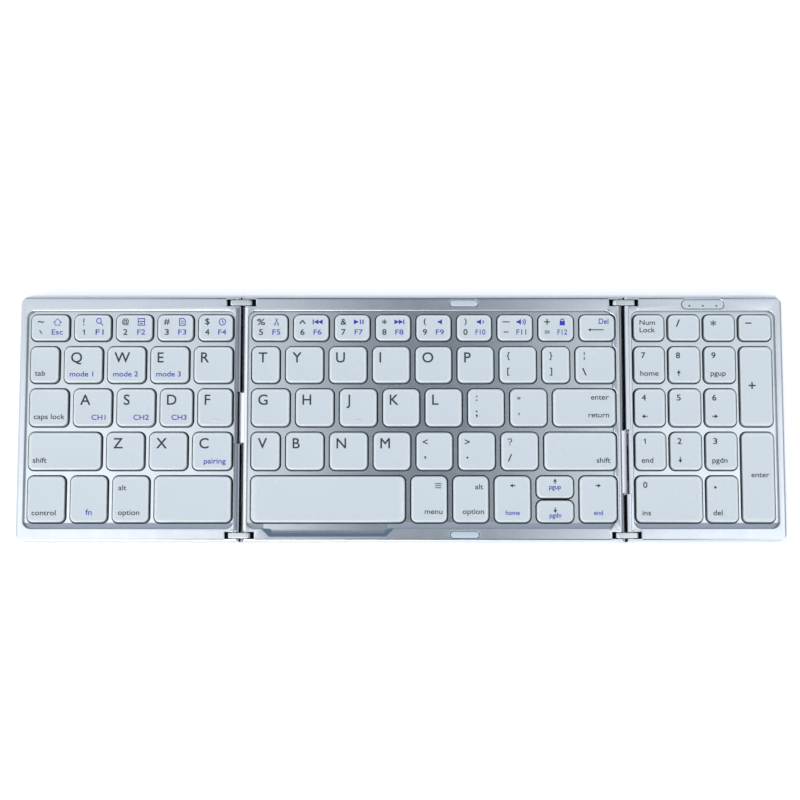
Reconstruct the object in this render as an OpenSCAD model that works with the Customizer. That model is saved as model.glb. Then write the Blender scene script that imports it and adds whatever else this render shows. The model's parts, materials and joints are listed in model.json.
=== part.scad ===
// Folding keyboard in three panels. Both wings fold inwards over the centre on two-pin links.
// +X runs to the right, +Y to the back and +Z up. The origin is on the table below the middle.

/* [Key rows] */
// Depth of the number row's keys
row1_d = 10.6; // [9:0.1:13]
// Depth of the upper letter row's keys
row2_d = 14.7; // [13:0.1:17]
// Depth of the home row's keys
row3_d = 15.1; // [13:0.1:17]
// Depth of the lower letter row's keys
row4_d = 15.1; // [13:0.1:17]
// Depth of the space row's keys
row5_d = 18.5; // [16:0.1:20]
// Gap between two rows
row_gap = 2.3; // [1.8:0.1:3]
// Gap between the two stacked arrow keys
split_gap = 0.8; // [0.7:0.1:1.2]

/* [Key columns] */
// Width of the left wing's key field
left_field_w = 80.85; // [78:0.1:86]
// Gap between two keys on the left wing
left_gap = 1.9; // [1.6:0.1:2.2]
// Width of the right wing's key field
right_field_w = 55.25; // [53:0.1:60]
// Gap between two keys on the right wing
right_gap = 1.45; // [1.3:0.05:1.7]
// Gap between two keys on the centre panel
center_gap = 2.3; // [1.9:0.1:2.6]

/* [Keycaps] */
// Height of a keycap
cap_h = 2.4; // [2:0.1:2.6]
// Corner radius of a keycap
cap_r = 2.3; // [1:0.1:3]
// Width of the bevel round a keycap's top
cap_bevel = 0.35; // [0.1:0.05:0.5]
// Side wall of a keycap
cap_wall = 1; // [0.8:0.1:1.1]
// Top wall of a keycap
cap_top = 1.2; // [0.9:0.1:1.3]
// Travel of a key
key_travel = 1.2; // [0.8:0.1:1.3]
// Gap round a keycap in the key web
key_clear = 0.35; // [0.2:0.05:0.4]

/* [Rims] */
// Width of the rim at the back
rim_back = 5.8; // [5.6:0.1:8]
// Width of the rim at the front
rim_front = 5.3; // [5.2:0.1:8]
// Width of the rim at a wing's free edge
rim_free = 2.95; // [2.4:0.05:5]
// Width of the left wing's rim at its hinge
left_hinge_rim = 2.6; // [2.55:0.05:4]
// Width of the centre's rim at the left hinge
center_rim_left = 1.8; // [1.7:0.1:2.6]
// Width of the centre's rim at the right hinge
center_rim_right = 3.7; // [3.4:0.1:4.2]
// Width of the right wing's rim at its hinge
right_hinge_rim = 3.1; // [2.6:0.05:4]
// Space between the key field and the rim at the back
margin_back = 1.4; // [1:0.1:2.5]
// Space between the key field and the rim at the front
margin_front = 2.3; // [1.8:0.1:3.5]
// Space beside the key field at a wing's free edge
margin_free = 1.4; // [1:0.1:2.5]
// Space beside the key field at a wing's hinge
margin_hinge = 0.65; // [0.55:0.05:1.2]
// Space beside the centre's key field at the left hinge
center_margin_left = 1.5; // [1:0.1:2.2]
// How far the centre's last keys cut into the rim at the right hinge
center_bite = 1; // [0.6:0.1:1.3]
// Corner radius of a wing's free corners
outer_r = 4; // [2:0.5:5]
// Corner radius of the key wells
well_r = 3; // [2:0.1:3.4]
// Rounding of the rims' outer top edge
edge_r = 1.1; // [0.4:0.1:1.4]
// Rounding of the panels' bottom edge
bottom_r = 0.7; // [0.3:0.1:0.9]
// Rounding of the free edges' bottom, which face each other when folded
free_bottom_r = 1.3; // [0.8:0.1:1.5]

/* [Heights] */
// Height of the rubber feet
foot_h = 0.5; // [0.3:0.1:1]
// Thickness of a bottom cover
cover_t = 0.8; // [0.6:0.1:0.9]
// Space between a bottom cover and its switch plate
bay_h = 1.7; // [1.6:0.1:2.4]
// Thickness of a switch plate with its contact film
plate_t = 0.5; // [0.4:0.1:0.6]
// Gap between a switch plate and the underside of a pressed keycap
press_clear = 0.3; // [0.2:0.1:0.5]
// Thickness of the key web
deck_t = 0.9; // [0.6:0.1:1]
// How far the key web lies below the rim
deck_drop = 2.2; // [1.9:0.1:2.4]
// How far the keycaps stay below the rim
cap_drop = 0.6; // [0.4:0.1:1]

/* [Hinges] */
// Width of a slit between two panels
slit_w = 0.9; // [0.85:0.05:1.1]
// Distance between a link's two pins
pin_span = 5.2; // [5.1:0.05:5.6]
// Depth of the pins below the rim
pin_drop = 2.3; // [2.25:0.05:2.5]
// Distance from a slit's middle to the pin in the centre panel
center_pin_in = 2.225; // [2.1:0.025:2.35]
// Radius of a hinge pin
pin_r = 0.75; // [0.5:0.05:0.8]
// Running clearance round a pin
pin_clear = 0.05; // [0.02:0.01:0.08]
// Radius of a link's round end
link_r = 2.2; // [2:0.05:2.2]
// Corner radius of a link's square end
link_corner_r = 0.8; // [0.7:0.1:1.2]
// Thickness of a link
link_t = 2.1; // [1.6:0.1:2.2]
// Clearance at each side of a link
link_side_clear = 0.25; // [0.15:0.05:0.3]
// Wall outside a link
ear_t = 1.2; // [1:0.1:1.4]
// Space past a link's end in the wing
wing_pocket_gap = 1.075; // [1:0.025:1.2]
// Space past a link's end in the centre panel
center_pocket_gap = 0.8; // [0.5:0.05:0.9]
// Rounding of the wings' top edge along a slit
wing_edge_r = 2; // [1.6:0.1:2]
// Rounding of the centre's top edge along a slit
center_edge_r = 1.5; // [1:0.1:1.5]
// Gap between the two wings when both are folded
wing_gap = 0.6; // [0.4:0.1:1.2]

/* [Cable bosses] */
// Radius of a cable boss
boss_r = 2.1; // [1.8:0.05:2.1]
// Distance from the centre's pin to the middle of a cable boss
boss_reach = 1.3; // [1.1:0.05:1.35]
// Height of a cable boss below the pins
boss_sink = 0.2; // [0.15:0.05:0.4]
// Length of the left cable boss
left_boss_l = 19.9; // [16:0.1:24]
// Middle of the left cable boss
left_boss_y = 0.25; // [-4:0.05:4]
// Length of the right cable boss
right_boss_l = 24.9; // [18:0.1:26]
// Middle of the right cable boss
right_boss_y = -17.35; // [-19:0.05:-14]
// Clearance between a boss's ends and its notch
notch_end_clear = 0.4; // [0.3:0.1:0.8]
// Depth of a notch past the slit's middle
notch_in = 1.7; // [1.65:0.05:1.75]
// Rounding of a notch's top edge
notch_edge_r = 1.2; // [0.8:0.1:1.2]
// Width of a flat cable
flex_w = 14; // [8:1:15]
// Thickness of a flat cable
flex_t = 0.2; // [0.1:0.05:0.3]
// Depth of a flat cable's loop in the notch
flex_dip = 0.9; // [0.4:0.1:0.9]

/* [Fittings] */
// Width of the thumb scoop at its mouth
scoop_w = 52.4; // [40:0.1:58]
// Middle of the thumb scoop from the centre's left edge
scoop_x = 33.9; // [30:0.1:36]
// Depth of the thumb scoop
scoop_in = 3.2; // [2:0.1:3.4]
// Run of the thumb scoop's sloped sides
scoop_run = 2.4; // [1:0.1:2.6]
// Length of a bumper pad
pad_l = 11.2; // [8:0.1:14]
// Width of a bumper pad
pad_w = 2.6; // [2:0.1:3]
// How far a bumper pad stands above the rim
pad_proud = 0.4; // [0.2:0.1:0.5]
// Depth of a bumper pad's seat
pad_seat = 0.5; // [0.3:0.1:1]
// Radius of a rubber foot
foot_r = 3; // [2:0.5:4]
// Radius of a screw's shank
screw_r = 0.7; // [0.5:0.05:0.8]
// Length of a screw's shank above the bottom cover
screw_l = 3; // [2:0.1:3.2]
// Radius of a magnet
magnet_r = 1.5; // [1:0.1:1.6]
// Height of a magnet
magnet_h = 2; // [1.5:0.1:2.2]
// Length of the indicator window
window_l = 16.8; // [14:0.1:20]
// Width of the indicator window
window_w = 3.6; // [2.4:0.1:3.6]
// Distance from the right wing's free edge to the middle of the indicator window
window_x = 31.6; // [30:0.1:33]
// Distance between two indicator lights
lamp_pitch = 5.4; // [4.5:0.1:5.6]
// Width of the charging socket's shell
socket_w = 8.94; // [8.9:0.01:9]
// Height of the charging socket's shell
socket_h = 3.16; // [3.1:0.01:3.2]
// Depth of the charging socket
socket_d = 7; // [6.4:0.1:7]
// Distance from the right wing's free edge to the middle of the charging socket
socket_x = 13.3; // [12.5:0.1:14]

// Distance from the centre panel's ends to the battery
battery_in = 28; // [24:1:50]
// Depth of the battery from front to back
battery_d = 48; // [20:1:56]
// Depth of the main board from front to back
board_d = 26; // [18:1:40]

/* [Hidden] */
$fn = 48;

// Small overlap for clean cuts, a layer with next to no height, and the gap between fixed pieces
cut = 0.5;
thin = 0.01;
seat = 0.1;

// Sum of a list's first entries
function total(v, n) = n == 0 ? 0 : v[n - 1] + total(v, n - 1);

// Panels along X, from the slit middles
left_w = rim_free + margin_free + left_field_w + margin_hinge + left_hinge_rim + slit_w / 2;
right_w = slit_w / 2 + right_hinge_rim + margin_hinge + right_field_w + margin_free + rim_free;
wing_pin_in = pin_span - center_pin_in;
center_w = left_w + right_w + wing_gap - 2 * (wing_pin_in - center_pin_in);
open_w = left_w + center_w + right_w;
left_slit = -open_w / 2 + left_w;
right_slit = open_w / 2 - right_w;
center_field_w = center_w - slit_w - center_rim_left - center_margin_left + center_bite
    - center_rim_right;
left_x = [-open_w / 2, left_slit - slit_w / 2];
center_x = [left_slit + slit_w / 2, right_slit - slit_w / 2];
right_x = [right_slit + slit_w / 2, open_w / 2];
left_well = [left_x[0] + rim_free, left_x[1] - left_hinge_rim];
center_well = [center_x[0] + center_rim_left, center_x[1] - center_rim_right];
right_well = [right_x[0] + right_hinge_rim, right_x[1] - rim_free];
left_keys_x = left_well[0] + margin_free;
center_keys_x = center_well[0] + center_margin_left;
right_keys_x = right_well[0] + margin_hinge;

// Rows along Y, from the back
rows_d = [row1_d, row2_d, row3_d, row4_d, row5_d];
field_d = total(rows_d, 5) + 4 * row_gap;
panel_d = rim_back + margin_back + field_d + margin_front + rim_front;
half_d = panel_d / 2;
field_back = half_d - rim_back - margin_back;
well_y = [-half_d + rim_front, half_d - rim_back];
function row_back(n) = field_back - total(rows_d, n) - n * row_gap;
function row_front(n) = row_back(n) - rows_d[n];

// Levels along Z
cover_z = foot_h;
bay_z = cover_z + cover_t;
plate_z = bay_z + bay_h;
film_z = plate_z + plate_t;
cap_z = film_z + press_clear + key_travel;
cap_top_z = cap_z + cap_h;
rim_z = cap_top_z + cap_drop;
deck_z = rim_z - deck_drop - deck_t;
pin_z = rim_z - pin_drop;
cap_ceiling = cap_top_z - cap_top;

// Ledges under the rim that hold the key web and the switch plate
deck_ledge = 0.6;
plate_ledge = 0.9;
cover_ledge = 1.2;

// Links and the pockets that hold them
pocket_out = half_d - ear_t;
pocket_in = pocket_out - link_t - 2 * link_side_clear;
link_y = (pocket_out + pocket_in) / 2;
link_reach = norm([link_r - link_corner_r, link_r - link_corner_r]) + link_corner_r;
pocket_floor = pin_z - link_reach - 0.3;
pin_seat = 0.6;
pin_end_in = 0.2;

// Screw places along each panel, front and back alike
screw_y = half_d - ear_t - 1.45;
left_screw_x = [left_x[0] + 14, left_x[1] - 20];
center_screw_x = [center_x[0] + 14, (center_x[0] + center_x[1]) / 2, center_x[1] - 16];
magnet_x = 5.2;
magnet_y = half_d - cover_ledge - magnet_r - 0.2;
screw_head_r = 1.4;
post_r = 1.2;

// Places of the fittings
pad_x = left_slit + center_pin_in + left_w - wing_pin_in + wing_gap / 2;
pad_y = half_d - 2.8;
scoop_mid = center_x[0] + scoop_x;
window_mid = right_x[1] - window_x;
window_y = half_d - 3.15;
lamp_y = window_y - 0.65;
window_t = 1.1;
socket_mid = right_x[1] - socket_x;
right_screw_x = [right_x[0] + 14,
    (window_mid + window_l / 2 + socket_mid - socket_w / 2) / 2];
socket_z = bay_z + 0.2 + socket_h / 2;
socket_wall = 0.25;
board_z = bay_z + 0.2;
board_t = 0.8;
lamp_h = 0.7;
pipe_r = 0.7;
flex_z = plate_z - 0.4;
lever_l = 8;

// A row of keys as boxes [x0, x1, y0, y1]. The widths are shares of the field between its gaps.
function row(x, field, gap, n, widths) =
    let (last = len(widths) - 1, scale = (field - gap * last) / total(widths, last + 1))
    [for (i = [0 : last])
        let (x0 = x + scale * total(widths, i) + i * gap)
            [x0, x0 + scale * widths[i], row_front(n), row_back(n)]];
function pick(v, from, to) = [for (i = [from : to]) v[i]];

left_row1 = row(left_keys_x, left_field_w, left_gap, 0, [15.4, 14.8, 14.7, 14.4, 13.95]);
left_row2 = row(left_keys_x, left_field_w, left_gap, 1, [11.6, 15.4, 15.3, 15.4, 15.55]);
left_row3 = row(left_keys_x, left_field_w, left_gap, 2, [15.6, 15.4, 15.3, 13.1, 13.85]);
left_row4 = row(left_keys_x, left_field_w, left_gap, 3, [29.1, 15.1, 15.2, 15.75]);
left_row5 = row(left_keys_x, left_field_w, left_gap, 4, [15.1, 14.8, 14.6, 30.65]);
center_row1 = row(center_keys_x, center_field_w, center_gap, 0,
    [14.3, 14.1, 14.1, 13.9, 13.9, 13.9, 14.1, 14.1, 14.1]);
center_row2 = row(center_keys_x, center_field_w, center_gap, 1,
    [11.2, 15.1, 15, 14.8, 14.4, 14.5, 14.7, 11, 15.8]);
center_row3 = row(center_keys_x, center_field_w, center_gap, 2,
    [15.3, 15.2, 14.9, 14.6, 14.6, 14.5, 14.7, 25]);
center_row4 = row(center_keys_x, center_field_w, center_gap, 3,
    [11.5, 15.1, 15.1, 14.7, 14.4, 14.6, 14.8, 28.6]);
center_row5 = row(center_keys_x, center_field_w, center_gap, 4,
    [61.2, 14.3, 14.1, 14.3, 14.7, 14.8]);
right_row1 = row(right_keys_x, right_field_w, right_gap, 0, [12.4, 12.7, 12.6, 13.2]);
right_row2 = row(right_keys_x, right_field_w, right_gap, 1, [12.4, 12.7, 12.7, 13.1]);
right_row3 = row(right_keys_x, right_field_w, right_gap, 2, [12.4, 12.7, 12.7, 13.1]);
right_row4 = row(right_keys_x, right_field_w, right_gap, 3, [12.4, 12.7, 12.7, 13.1]);
right_row5 = row(right_keys_x, right_field_w, right_gap, 4, [26.55, 12.7, 13.1]);

// Two keys that span two rows, and the stacked arrows
tall_plus = [right_row2[3][0], right_row2[3][1], row_front(2), row_back(1)];
tall_enter = [right_row4[3][0], right_row4[3][1], row_front(4), row_back(3)];
arrow_d = (row5_d - split_gap) / 2;
arrow_up = [center_row5[4][0], center_row5[4][1], row_back(4) - arrow_d, row_back(4)];
arrow_down = [center_row5[4][0], center_row5[4][1], row_front(4), row_front(4) + arrow_d];
arrows = [center_row5[3], arrow_up, arrow_down, center_row5[5]];
pad_digits = concat(pick(right_row2, 0, 2), pick(right_row3, 0, 2), pick(right_row4, 0, 2));
pad_bottom = pick(right_row5, 0, 1);

left_keys = concat(left_row1, left_row2, left_row3, left_row4, left_row5);
center_keys = concat(center_row1, center_row2, center_row3, center_row4,
    pick(center_row5, 0, 2), arrows);
right_keys = concat(right_row1, pad_digits, [tall_plus, tall_enter], pad_bottom);
bite_keys = [center_row1[8], center_row2[8], center_row3[7], center_row4[7], center_row5[5]];

// Rectangle with its own radius at each corner: left front, right front, right back, left back
module soft_rect(x, y, r) {
    size = [x[1] - x[0], y[1] - y[0]];
    places = [[x[0], y[0]], [x[1], y[0]], [x[1], y[1]], [x[0], y[1]]];
    difference() {
        translate([x[0], y[0]]) square(size);
        for (i = [0 : 3])
            if (r[i] > 0)
                translate(places[i]) rotate(90 * i) corner_cut(r[i]);
    }
}

// What a round corner takes off a square one
module corner_cut(r) {
    difference() {
        translate([-cut, -cut]) square(r + cut);
        translate([r, r]) circle(r);
    }
}

// Bar with round ends
module pill(l, w) {
    square([l - w, w], center = true);
    for (side = [-1, 1])
        translate([side * (l - w) / 2, 0]) circle(w / 2);
}

// Puts a profile drawn in X and Z along Y
module along_y(y) {
    translate([0, y[1], 0]) rotate([90, 0, 0]) linear_extrude(y[1] - y[0]) children();
}

// Puts a profile drawn in Y and Z along X
module along_x(x) {
    translate([x[0], 0, 0]) rotate([90, 0, 90]) linear_extrude(x[1] - x[0]) children();
}

module layer(z) {
    translate([0, 0, z[0]]) linear_extrude(z[1] - z[0]) children();
}

// A panel's outer block: plan corners, rounded long edges and rounded ends
module block(x, plan_r, ends_r) {
    intersection() {
        layer([cover_z, rim_z]) soft_rect(x, [-half_d, half_d], plan_r);
        along_x([x[0] - cut, x[1] + cut])
            soft_rect([-half_d, half_d], [cover_z, rim_z], [bottom_r, bottom_r, edge_r, edge_r]);
        along_y([-half_d - cut, half_d + cut]) soft_rect(x, [cover_z, rim_z], ends_r);
    }
}

// The hollow of a panel: the open well, the two ledges and the seat of the bottom cover
module hollow(x, well) {
    layer([deck_z, rim_z + cut]) soft_rect(well, well_y, [well_r, well_r, well_r, well_r]);
    layer([cover_z, deck_z + deck_t]) ledge_plan(well, deck_ledge);
    layer([cover_z, film_z]) ledge_plan(well, plate_ledge);
    layer([cover_z - cut, bay_z]) cover_plan(x, 0);
}

module ledge_plan(well, out) {
    r = well_r - 0.5;
    soft_rect([well[0] - out, well[1] + out], [well_y[0] - out, well_y[1] + out], [r, r, r, r]);
}

module cover_plan(x, gap) {
    inset = cover_ledge + gap;
    r = outer_r - cover_ledge;
    soft_rect([x[0] + inset, x[1] - inset], [-half_d + inset, half_d - inset], [r, r, r, r]);
}

// Pockets and bores for the links at one slit. side is -1 for a wing on the left of the slit.
module link_cuts(pin_x, side, gap) {
    for (end = [-1, 1])
        mirror([0, end < 0 ? 1 : 0, 0]) {
            x = side < 0 ? [pin_x - link_r - gap, pin_x + 10] : [pin_x - 10, pin_x + link_r + gap];
            translate([x[0], pocket_in, pocket_floor])
                cube([x[1] - x[0], pocket_out - pocket_in, rim_z]);
            translate([pin_x, pocket_in - pin_seat - seat, pin_z])
                rotate([-90, 0, 0]) cylinder(half_d - pocket_in + 3, pin_r + pin_clear,
                    pin_r + pin_clear);
        }
}

module screw_cuts(places) {
    for (x = places, end = [-1, 1])
        translate([x, end * screw_y, bay_z - cut])
            cylinder(screw_l + seat + cut, screw_r + 0.05, screw_r + 0.05);
}

// Slot for the flat cable in a hinge wall
module flex_slot(x, y) {
    translate([x[0], y - flex_w / 2 - 0.5, flex_z - 0.4]) cube([x[1] - x[0], flex_w + 1, 0.8]);
}

// Cable boss on the centre's edge. side is -1 at the left slit.
module boss(side, edge_x, pin_x, y, l) {
    intersection() {
        translate([pin_x + side * boss_reach, y + l / 2, pin_z - boss_sink])
            rotate([90, 0, 0]) cylinder(l, boss_r, boss_r);
        translate([side < 0 ? edge_x - 5 : edge_x - 1, y - l, 0]) cube([6, 2 * l, rim_z]);
    }
}

// Notch in a wing's hinge edge for the cable boss, with a rounded top edge
module notch(side, slit_x, y, l) {
    wall = slit_x + side * notch_in;
    yy = [y - l / 2 - notch_end_clear, y + l / 2 + notch_end_clear];
    far = slit_x - side * 3;
    translate([min(wall, far), yy[0], bay_z]) cube([abs(far - wall), yy[1] - yy[0], rim_z]);
    translate([wall, yy[0], rim_z]) mirror([side < 0 ? 1 : 0, 0, 0])
        rotate([90, 0, 0]) mirror([0, 0, 1]) linear_extrude(yy[1] - yy[0])
            mirror([0, 1, 0]) corner_cut(notch_edge_r);
}

module center_frame() {
    color("darkgray") {
        difference() {
            block(center_x, [0, 0, 0, 0], [bottom_r, bottom_r, center_edge_r, center_edge_r]);
            hollow(center_x, center_well);
            layer([film_z, rim_z + cut]) key_holes(bite_keys);
            link_cuts(left_slit + center_pin_in, 1, center_pocket_gap);
            link_cuts(right_slit - center_pin_in, -1, center_pocket_gap);
            screw_cuts(center_screw_x);
            flex_slot([center_x[0] - cut, center_well[0] + cut], left_boss_y);
            flex_slot([center_well[1] - cut, center_x[1] + cut], right_boss_y);
            scoop();
            layer([rim_z - pad_seat, rim_z + cut]) pads_plan(seat);
        }
        boss(-1, center_x[0], left_slit + center_pin_in, left_boss_y, left_boss_l);
        boss(1, center_x[1], right_slit - center_pin_in, right_boss_y, right_boss_l);
    }
}

// Outline of the thumb scoop, drawn in from its mouth by a run of its slopes
module scoop_plan(run) {
    half = scoop_w / 2 - run * sqrt(2);
    depth = scoop_in - run;
    polygon([[-half, cut], [-half, 0], [-half + depth, -depth], [half - depth, -depth], [half, 0], [half, cut]]);
}

// Thumb scoop with sloped sides, down to the level of the key web
module scoop() {
    translate([scoop_mid, well_y[0]]) hull() {
        layer([rim_z, rim_z + cut]) scoop_plan(0);
        layer([deck_z + deck_t, deck_z + deck_t + thin]) scoop_plan(scoop_run);
    }
}

module left_frame() {
    color("lightgray") difference() {
        block(left_x, [outer_r, 0, 0, outer_r], [free_bottom_r, bottom_r, wing_edge_r, edge_r]);
        hollow(left_x, left_well);
        link_cuts(left_slit - wing_pin_in, -1, wing_pocket_gap);
        notch(-1, left_slit, left_boss_y, left_boss_l);
        flex_slot([left_well[1] - cut, left_x[1] + cut], left_boss_y);
        screw_cuts(left_screw_x);
        magnet_cuts(left_x[0] + magnet_x);
    }
}

module right_frame() {
    color("lightgray") difference() {
        block(right_x, [0, outer_r, outer_r, 0], [bottom_r, free_bottom_r, edge_r, wing_edge_r]);
        hollow(right_x, right_well);
        link_cuts(right_slit + wing_pin_in, 1, wing_pocket_gap);
        notch(1, right_slit, right_boss_y, right_boss_l);
        flex_slot([right_x[0] - cut, right_well[0] + cut], right_boss_y);
        screw_cuts(right_screw_x);
        magnet_cuts(right_x[1] - magnet_x);
        window_cuts();
        socket_cut();
    }
}

// Seat of the indicator window, its light holes and the bay for the board below it
module window_cuts() {
    layer([rim_z - window_t, rim_z + cut])
        translate([window_mid, window_y]) pill(window_l + 2 * seat, window_w + 2 * seat);
    for (i = [-1 : 1])
        translate([window_mid + i * lamp_pitch, lamp_y, bay_z])
            cylinder(rim_z - bay_z, pipe_r + seat, pipe_r + seat);
    translate([window_mid - window_l / 2, well_y[1] - cut, bay_z - cut])
        cube([window_l, half_d - cover_ledge - seat - well_y[1] + cut, board_t + lamp_h + 1.2]);
}

module socket_cut() {
    translate([socket_mid, half_d + cut, socket_z]) rotate([90, 0, 0])
        linear_extrude(half_d - well_y[1] + 2 * cut)
            pill(socket_w + 2 * seat, socket_h + 2 * seat);
}

module magnet_cuts(x) {
    for (end = [-1, 1])
        translate([x, end * magnet_y, bay_z - cut])
            cylinder(magnet_h + seat + cut, magnet_r + seat, magnet_r + seat);
}

// Openings for a list of keys
module key_holes(keys) {
    for (k = keys)
        key_plan(k, key_clear);
}

module key_plan(k, out) {
    r = cap_r + out;
    soft_rect([k[0] - out, k[1] + out], [k[2] - out, k[3] + out], [r, r, r, r]);
}

// The key web: a plate under the rim with an opening for each key
module deck(well, keys, split) {
    out = deck_ledge - seat;
    layer([deck_z, deck_z + deck_t]) difference() {
        ledge_plan(well, out);
        key_holes(keys);
        if (split) bridge_cut();
    }
}

// The stacked arrows share one opening
module bridge_cut() {
    translate([arrow_down[0] + cap_r, arrow_down[3] - 1])
        square([arrow_down[1] - arrow_down[0] - 2 * cap_r, split_gap + 2]);
}

module center_deck() {
    color("darkgray") deck(center_well, center_keys, true);
}

module left_deck() {
    color("lightgray") deck(left_well, left_keys, false);
}

module right_deck() {
    color("lightgray") deck(right_well, right_keys, false);
}

// Bottom cover with countersunk screw holes and the posts that press the plate up
module bottom_cover(x, screws, posts) {
    difference() {
        layer([cover_z, bay_z]) cover_plan(x, seat);
        for (place = screws, end = [-1, 1])
            translate([place, end * screw_y, 0]) {
                cylinder(bay_z + cut, screw_r + 0.05, screw_r + 0.05);
                translate([0, 0, cover_z - 0.01])
                    cylinder(screw_head_r - screw_r, screw_head_r + 0.05, screw_r + 0.05);
            }
    }
    for (p = posts)
        translate([p[0], p[1], bay_z]) cylinder(bay_h, post_r, post_r);
}

module center_bottom_cover() {
    color("silver") bottom_cover(center_x, center_screw_x,
        [for (x = [center_x[0] + 20, center_x[1] - 20], y = [-30, 0, 30]) [x, y]]);
}

module left_bottom_cover() {
    color("silver") bottom_cover(left_x, left_screw_x,
        [for (x = [left_x[0] + 20, left_x[1] - 20], y = [-30, 30]) [x, y]]);
}

module right_bottom_cover() {
    color("silver") bottom_cover(right_x, right_screw_x,
        [for (x = [right_x[0] + 14, right_x[1] - 14], y = [-30]) [x, y]]);
}

module switch_plate(well) {
    layer([plate_z, film_z]) ledge_plan(well, plate_ledge - seat);
}

module center_switch_plate() {
    color("slategray") switch_plate(center_well);
}

module left_switch_plate() {
    color("slategray") switch_plate(left_well);
}

// The right plate is cut back round the charging socket
module right_switch_plate() {
    color("slategray") difference() {
        switch_plate(right_well);
        translate([socket_mid - socket_w / 2 - 0.4, half_d - socket_d - 0.4, plate_z - cut])
            cube([socket_w + 0.8, socket_d, plate_t + 2 * cut]);
    }
}

// Size of the scissor levers and the dome of one key
function key_mid(k) = [(k[0] + k[1]) / 2, (k[2] + k[3]) / 2];
function lever_w(k) = min(9, k[3] - k[2] - 3);
function dome_r(k) = min(2.6, lever_w(k) / 2 - 1.6);

module domes(keys) {
    h = cap_ceiling - film_z;
    for (k = keys)
        translate([key_mid(k)[0], key_mid(k)[1], film_z]) {
            cylinder(0.3, dome_r(k), dome_r(k));
            translate([0, 0, 0.3]) cylinder(h * 0.55, dome_r(k) - 0.2, dome_r(k) * 0.55);
            translate([0, 0, 0.3 + h * 0.55]) cylinder(h * 0.45 - 0.3, dome_r(k) * 0.55,
                dome_r(k) * 0.55);
        }
}

// Crossed levers under each key. Wide keys have a pair at each side of the dome.
module scissors(keys) {
    for (k = keys) {
        w = k[1] - k[0];
        apart = max(w / 4, dome_r(k) + lever_l / 2 + 0.3);
        spread = apart + lever_l / 2 + cap_wall + 0.2 < w / 2 ? [-apart, apart] : [0];
        for (dx = spread)
            translate([key_mid(k)[0] + dx, key_mid(k)[1], (film_z + cap_ceiling) / 2]) {
                lever(lever_w(k), 1);
                lever(lever_w(k) - 1.6, -1);
            }
    }
}

// One lever: a flat ring that leans one way
module lever(w, lean) {
    bar = 0.6;
    t = 0.6;
    rise = cap_ceiling - film_z - 0.2 - t;
    rotate([0, lean * asin(rise / lever_l), 0]) difference() {
        cube([lever_l, w, t], center = true);
        cube([lever_l - 2 * bar, w - 2 * bar, 2 * t], center = true);
    }
}

module center_domes() {
    color("whitesmoke") domes(center_keys);
}

module left_domes() {
    color("whitesmoke") domes(left_keys);
}

module right_domes() {
    color("whitesmoke") domes(right_keys);
}

module center_scissors() {
    color("white") scissors(center_keys);
}

module left_scissors() {
    color("white") scissors(left_keys);
}

module right_scissors() {
    color("white") scissors(right_keys);
}

module battery() {
    color("gray") translate([center_x[0] + battery_in, -battery_d / 2, bay_z])
        cube([center_x[1] - center_x[0] - 2 * battery_in, battery_d, bay_h - 0.2]);
}

module pads_plan(out) {
    for (end = [-1, 1])
        translate([pad_x, end * pad_y]) pill(pad_l + 2 * out, pad_w + 2 * out);
}

module bumper_pads() {
    color("whitesmoke") layer([rim_z - pad_seat, rim_z + pad_proud]) pads_plan(0);
}

module feet(xs, ys) {
    for (x = xs, y = ys)
        translate([x, y, 0]) cylinder(foot_h, foot_r, foot_r);
}

module center_feet() {
    color("dimgray") feet([center_x[0] + 8, center_x[1] - 8], [-half_d + 9, half_d - 9]);
}

module left_feet() {
    color("dimgray") feet([left_x[0] + 9], [-half_d + 9, half_d - 9]);
}

module right_feet() {
    color("dimgray") feet([right_x[1] - 9], [-half_d + 9, half_d - 9]);
}

module screws(places) {
    for (x = places, end = [-1, 1])
        translate([x, end * screw_y, cover_z]) {
            cylinder(cover_t + screw_l, screw_r, screw_r);
            cylinder(screw_head_r - screw_r, screw_head_r, screw_r);
        }
}

module center_screws() {
    color("silver") screws(center_screw_x);
}

module left_screws() {
    color("silver") screws(left_screw_x);
}

module right_screws() {
    color("silver") screws(right_screw_x);
}

module magnets(x) {
    for (end = [-1, 1])
        translate([x, end * magnet_y, bay_z]) cylinder(magnet_h, magnet_r, magnet_r);
}

module left_magnets() {
    color("silver") magnets(left_x[0] + magnet_x);
}

module right_magnets() {
    color("silver") magnets(right_x[1] - magnet_x);
}

// Circuit board with its indicator lamps, under the window and beside the charging socket
module main_board() {
    back = half_d - socket_d - 0.1;
    color("seagreen") {
        translate([window_mid - window_l / 2 + 0.3, back - board_d, board_z])
            cube([socket_mid + socket_w / 2 - window_mid + window_l / 2, board_d, board_t]);
        translate([window_mid - window_l / 2 + 0.3, back - cut, board_z])
            cube([window_l - 0.6, window_y + 1 - back + cut, board_t]);
        for (i = [-1 : 1])
            translate([window_mid + i * lamp_pitch - 0.5, lamp_y - 0.4, board_z])
                cube([1, 0.8, board_t + lamp_h]);
        translate([window_mid - 5, back - 16, board_z]) cube([6, 6, board_t + 0.6]);
    }
}

// Charging socket: a round-ended shell with the tongue inside
module charge_socket() {
    color("silver") translate([socket_mid, half_d - 0.1, socket_z]) rotate([90, 0, 0]) {
        difference() {
            linear_extrude(socket_d - 0.1) pill(socket_w, socket_h);
            translate([0, 0, -cut]) linear_extrude(socket_d - 0.6 + cut)
                pill(socket_w - 2 * socket_wall, socket_h - 2 * socket_wall);
        }
        translate([-3.35, -0.35, 0.6]) cube([6.7, 0.7, socket_d - 1]);
    }
}

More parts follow.
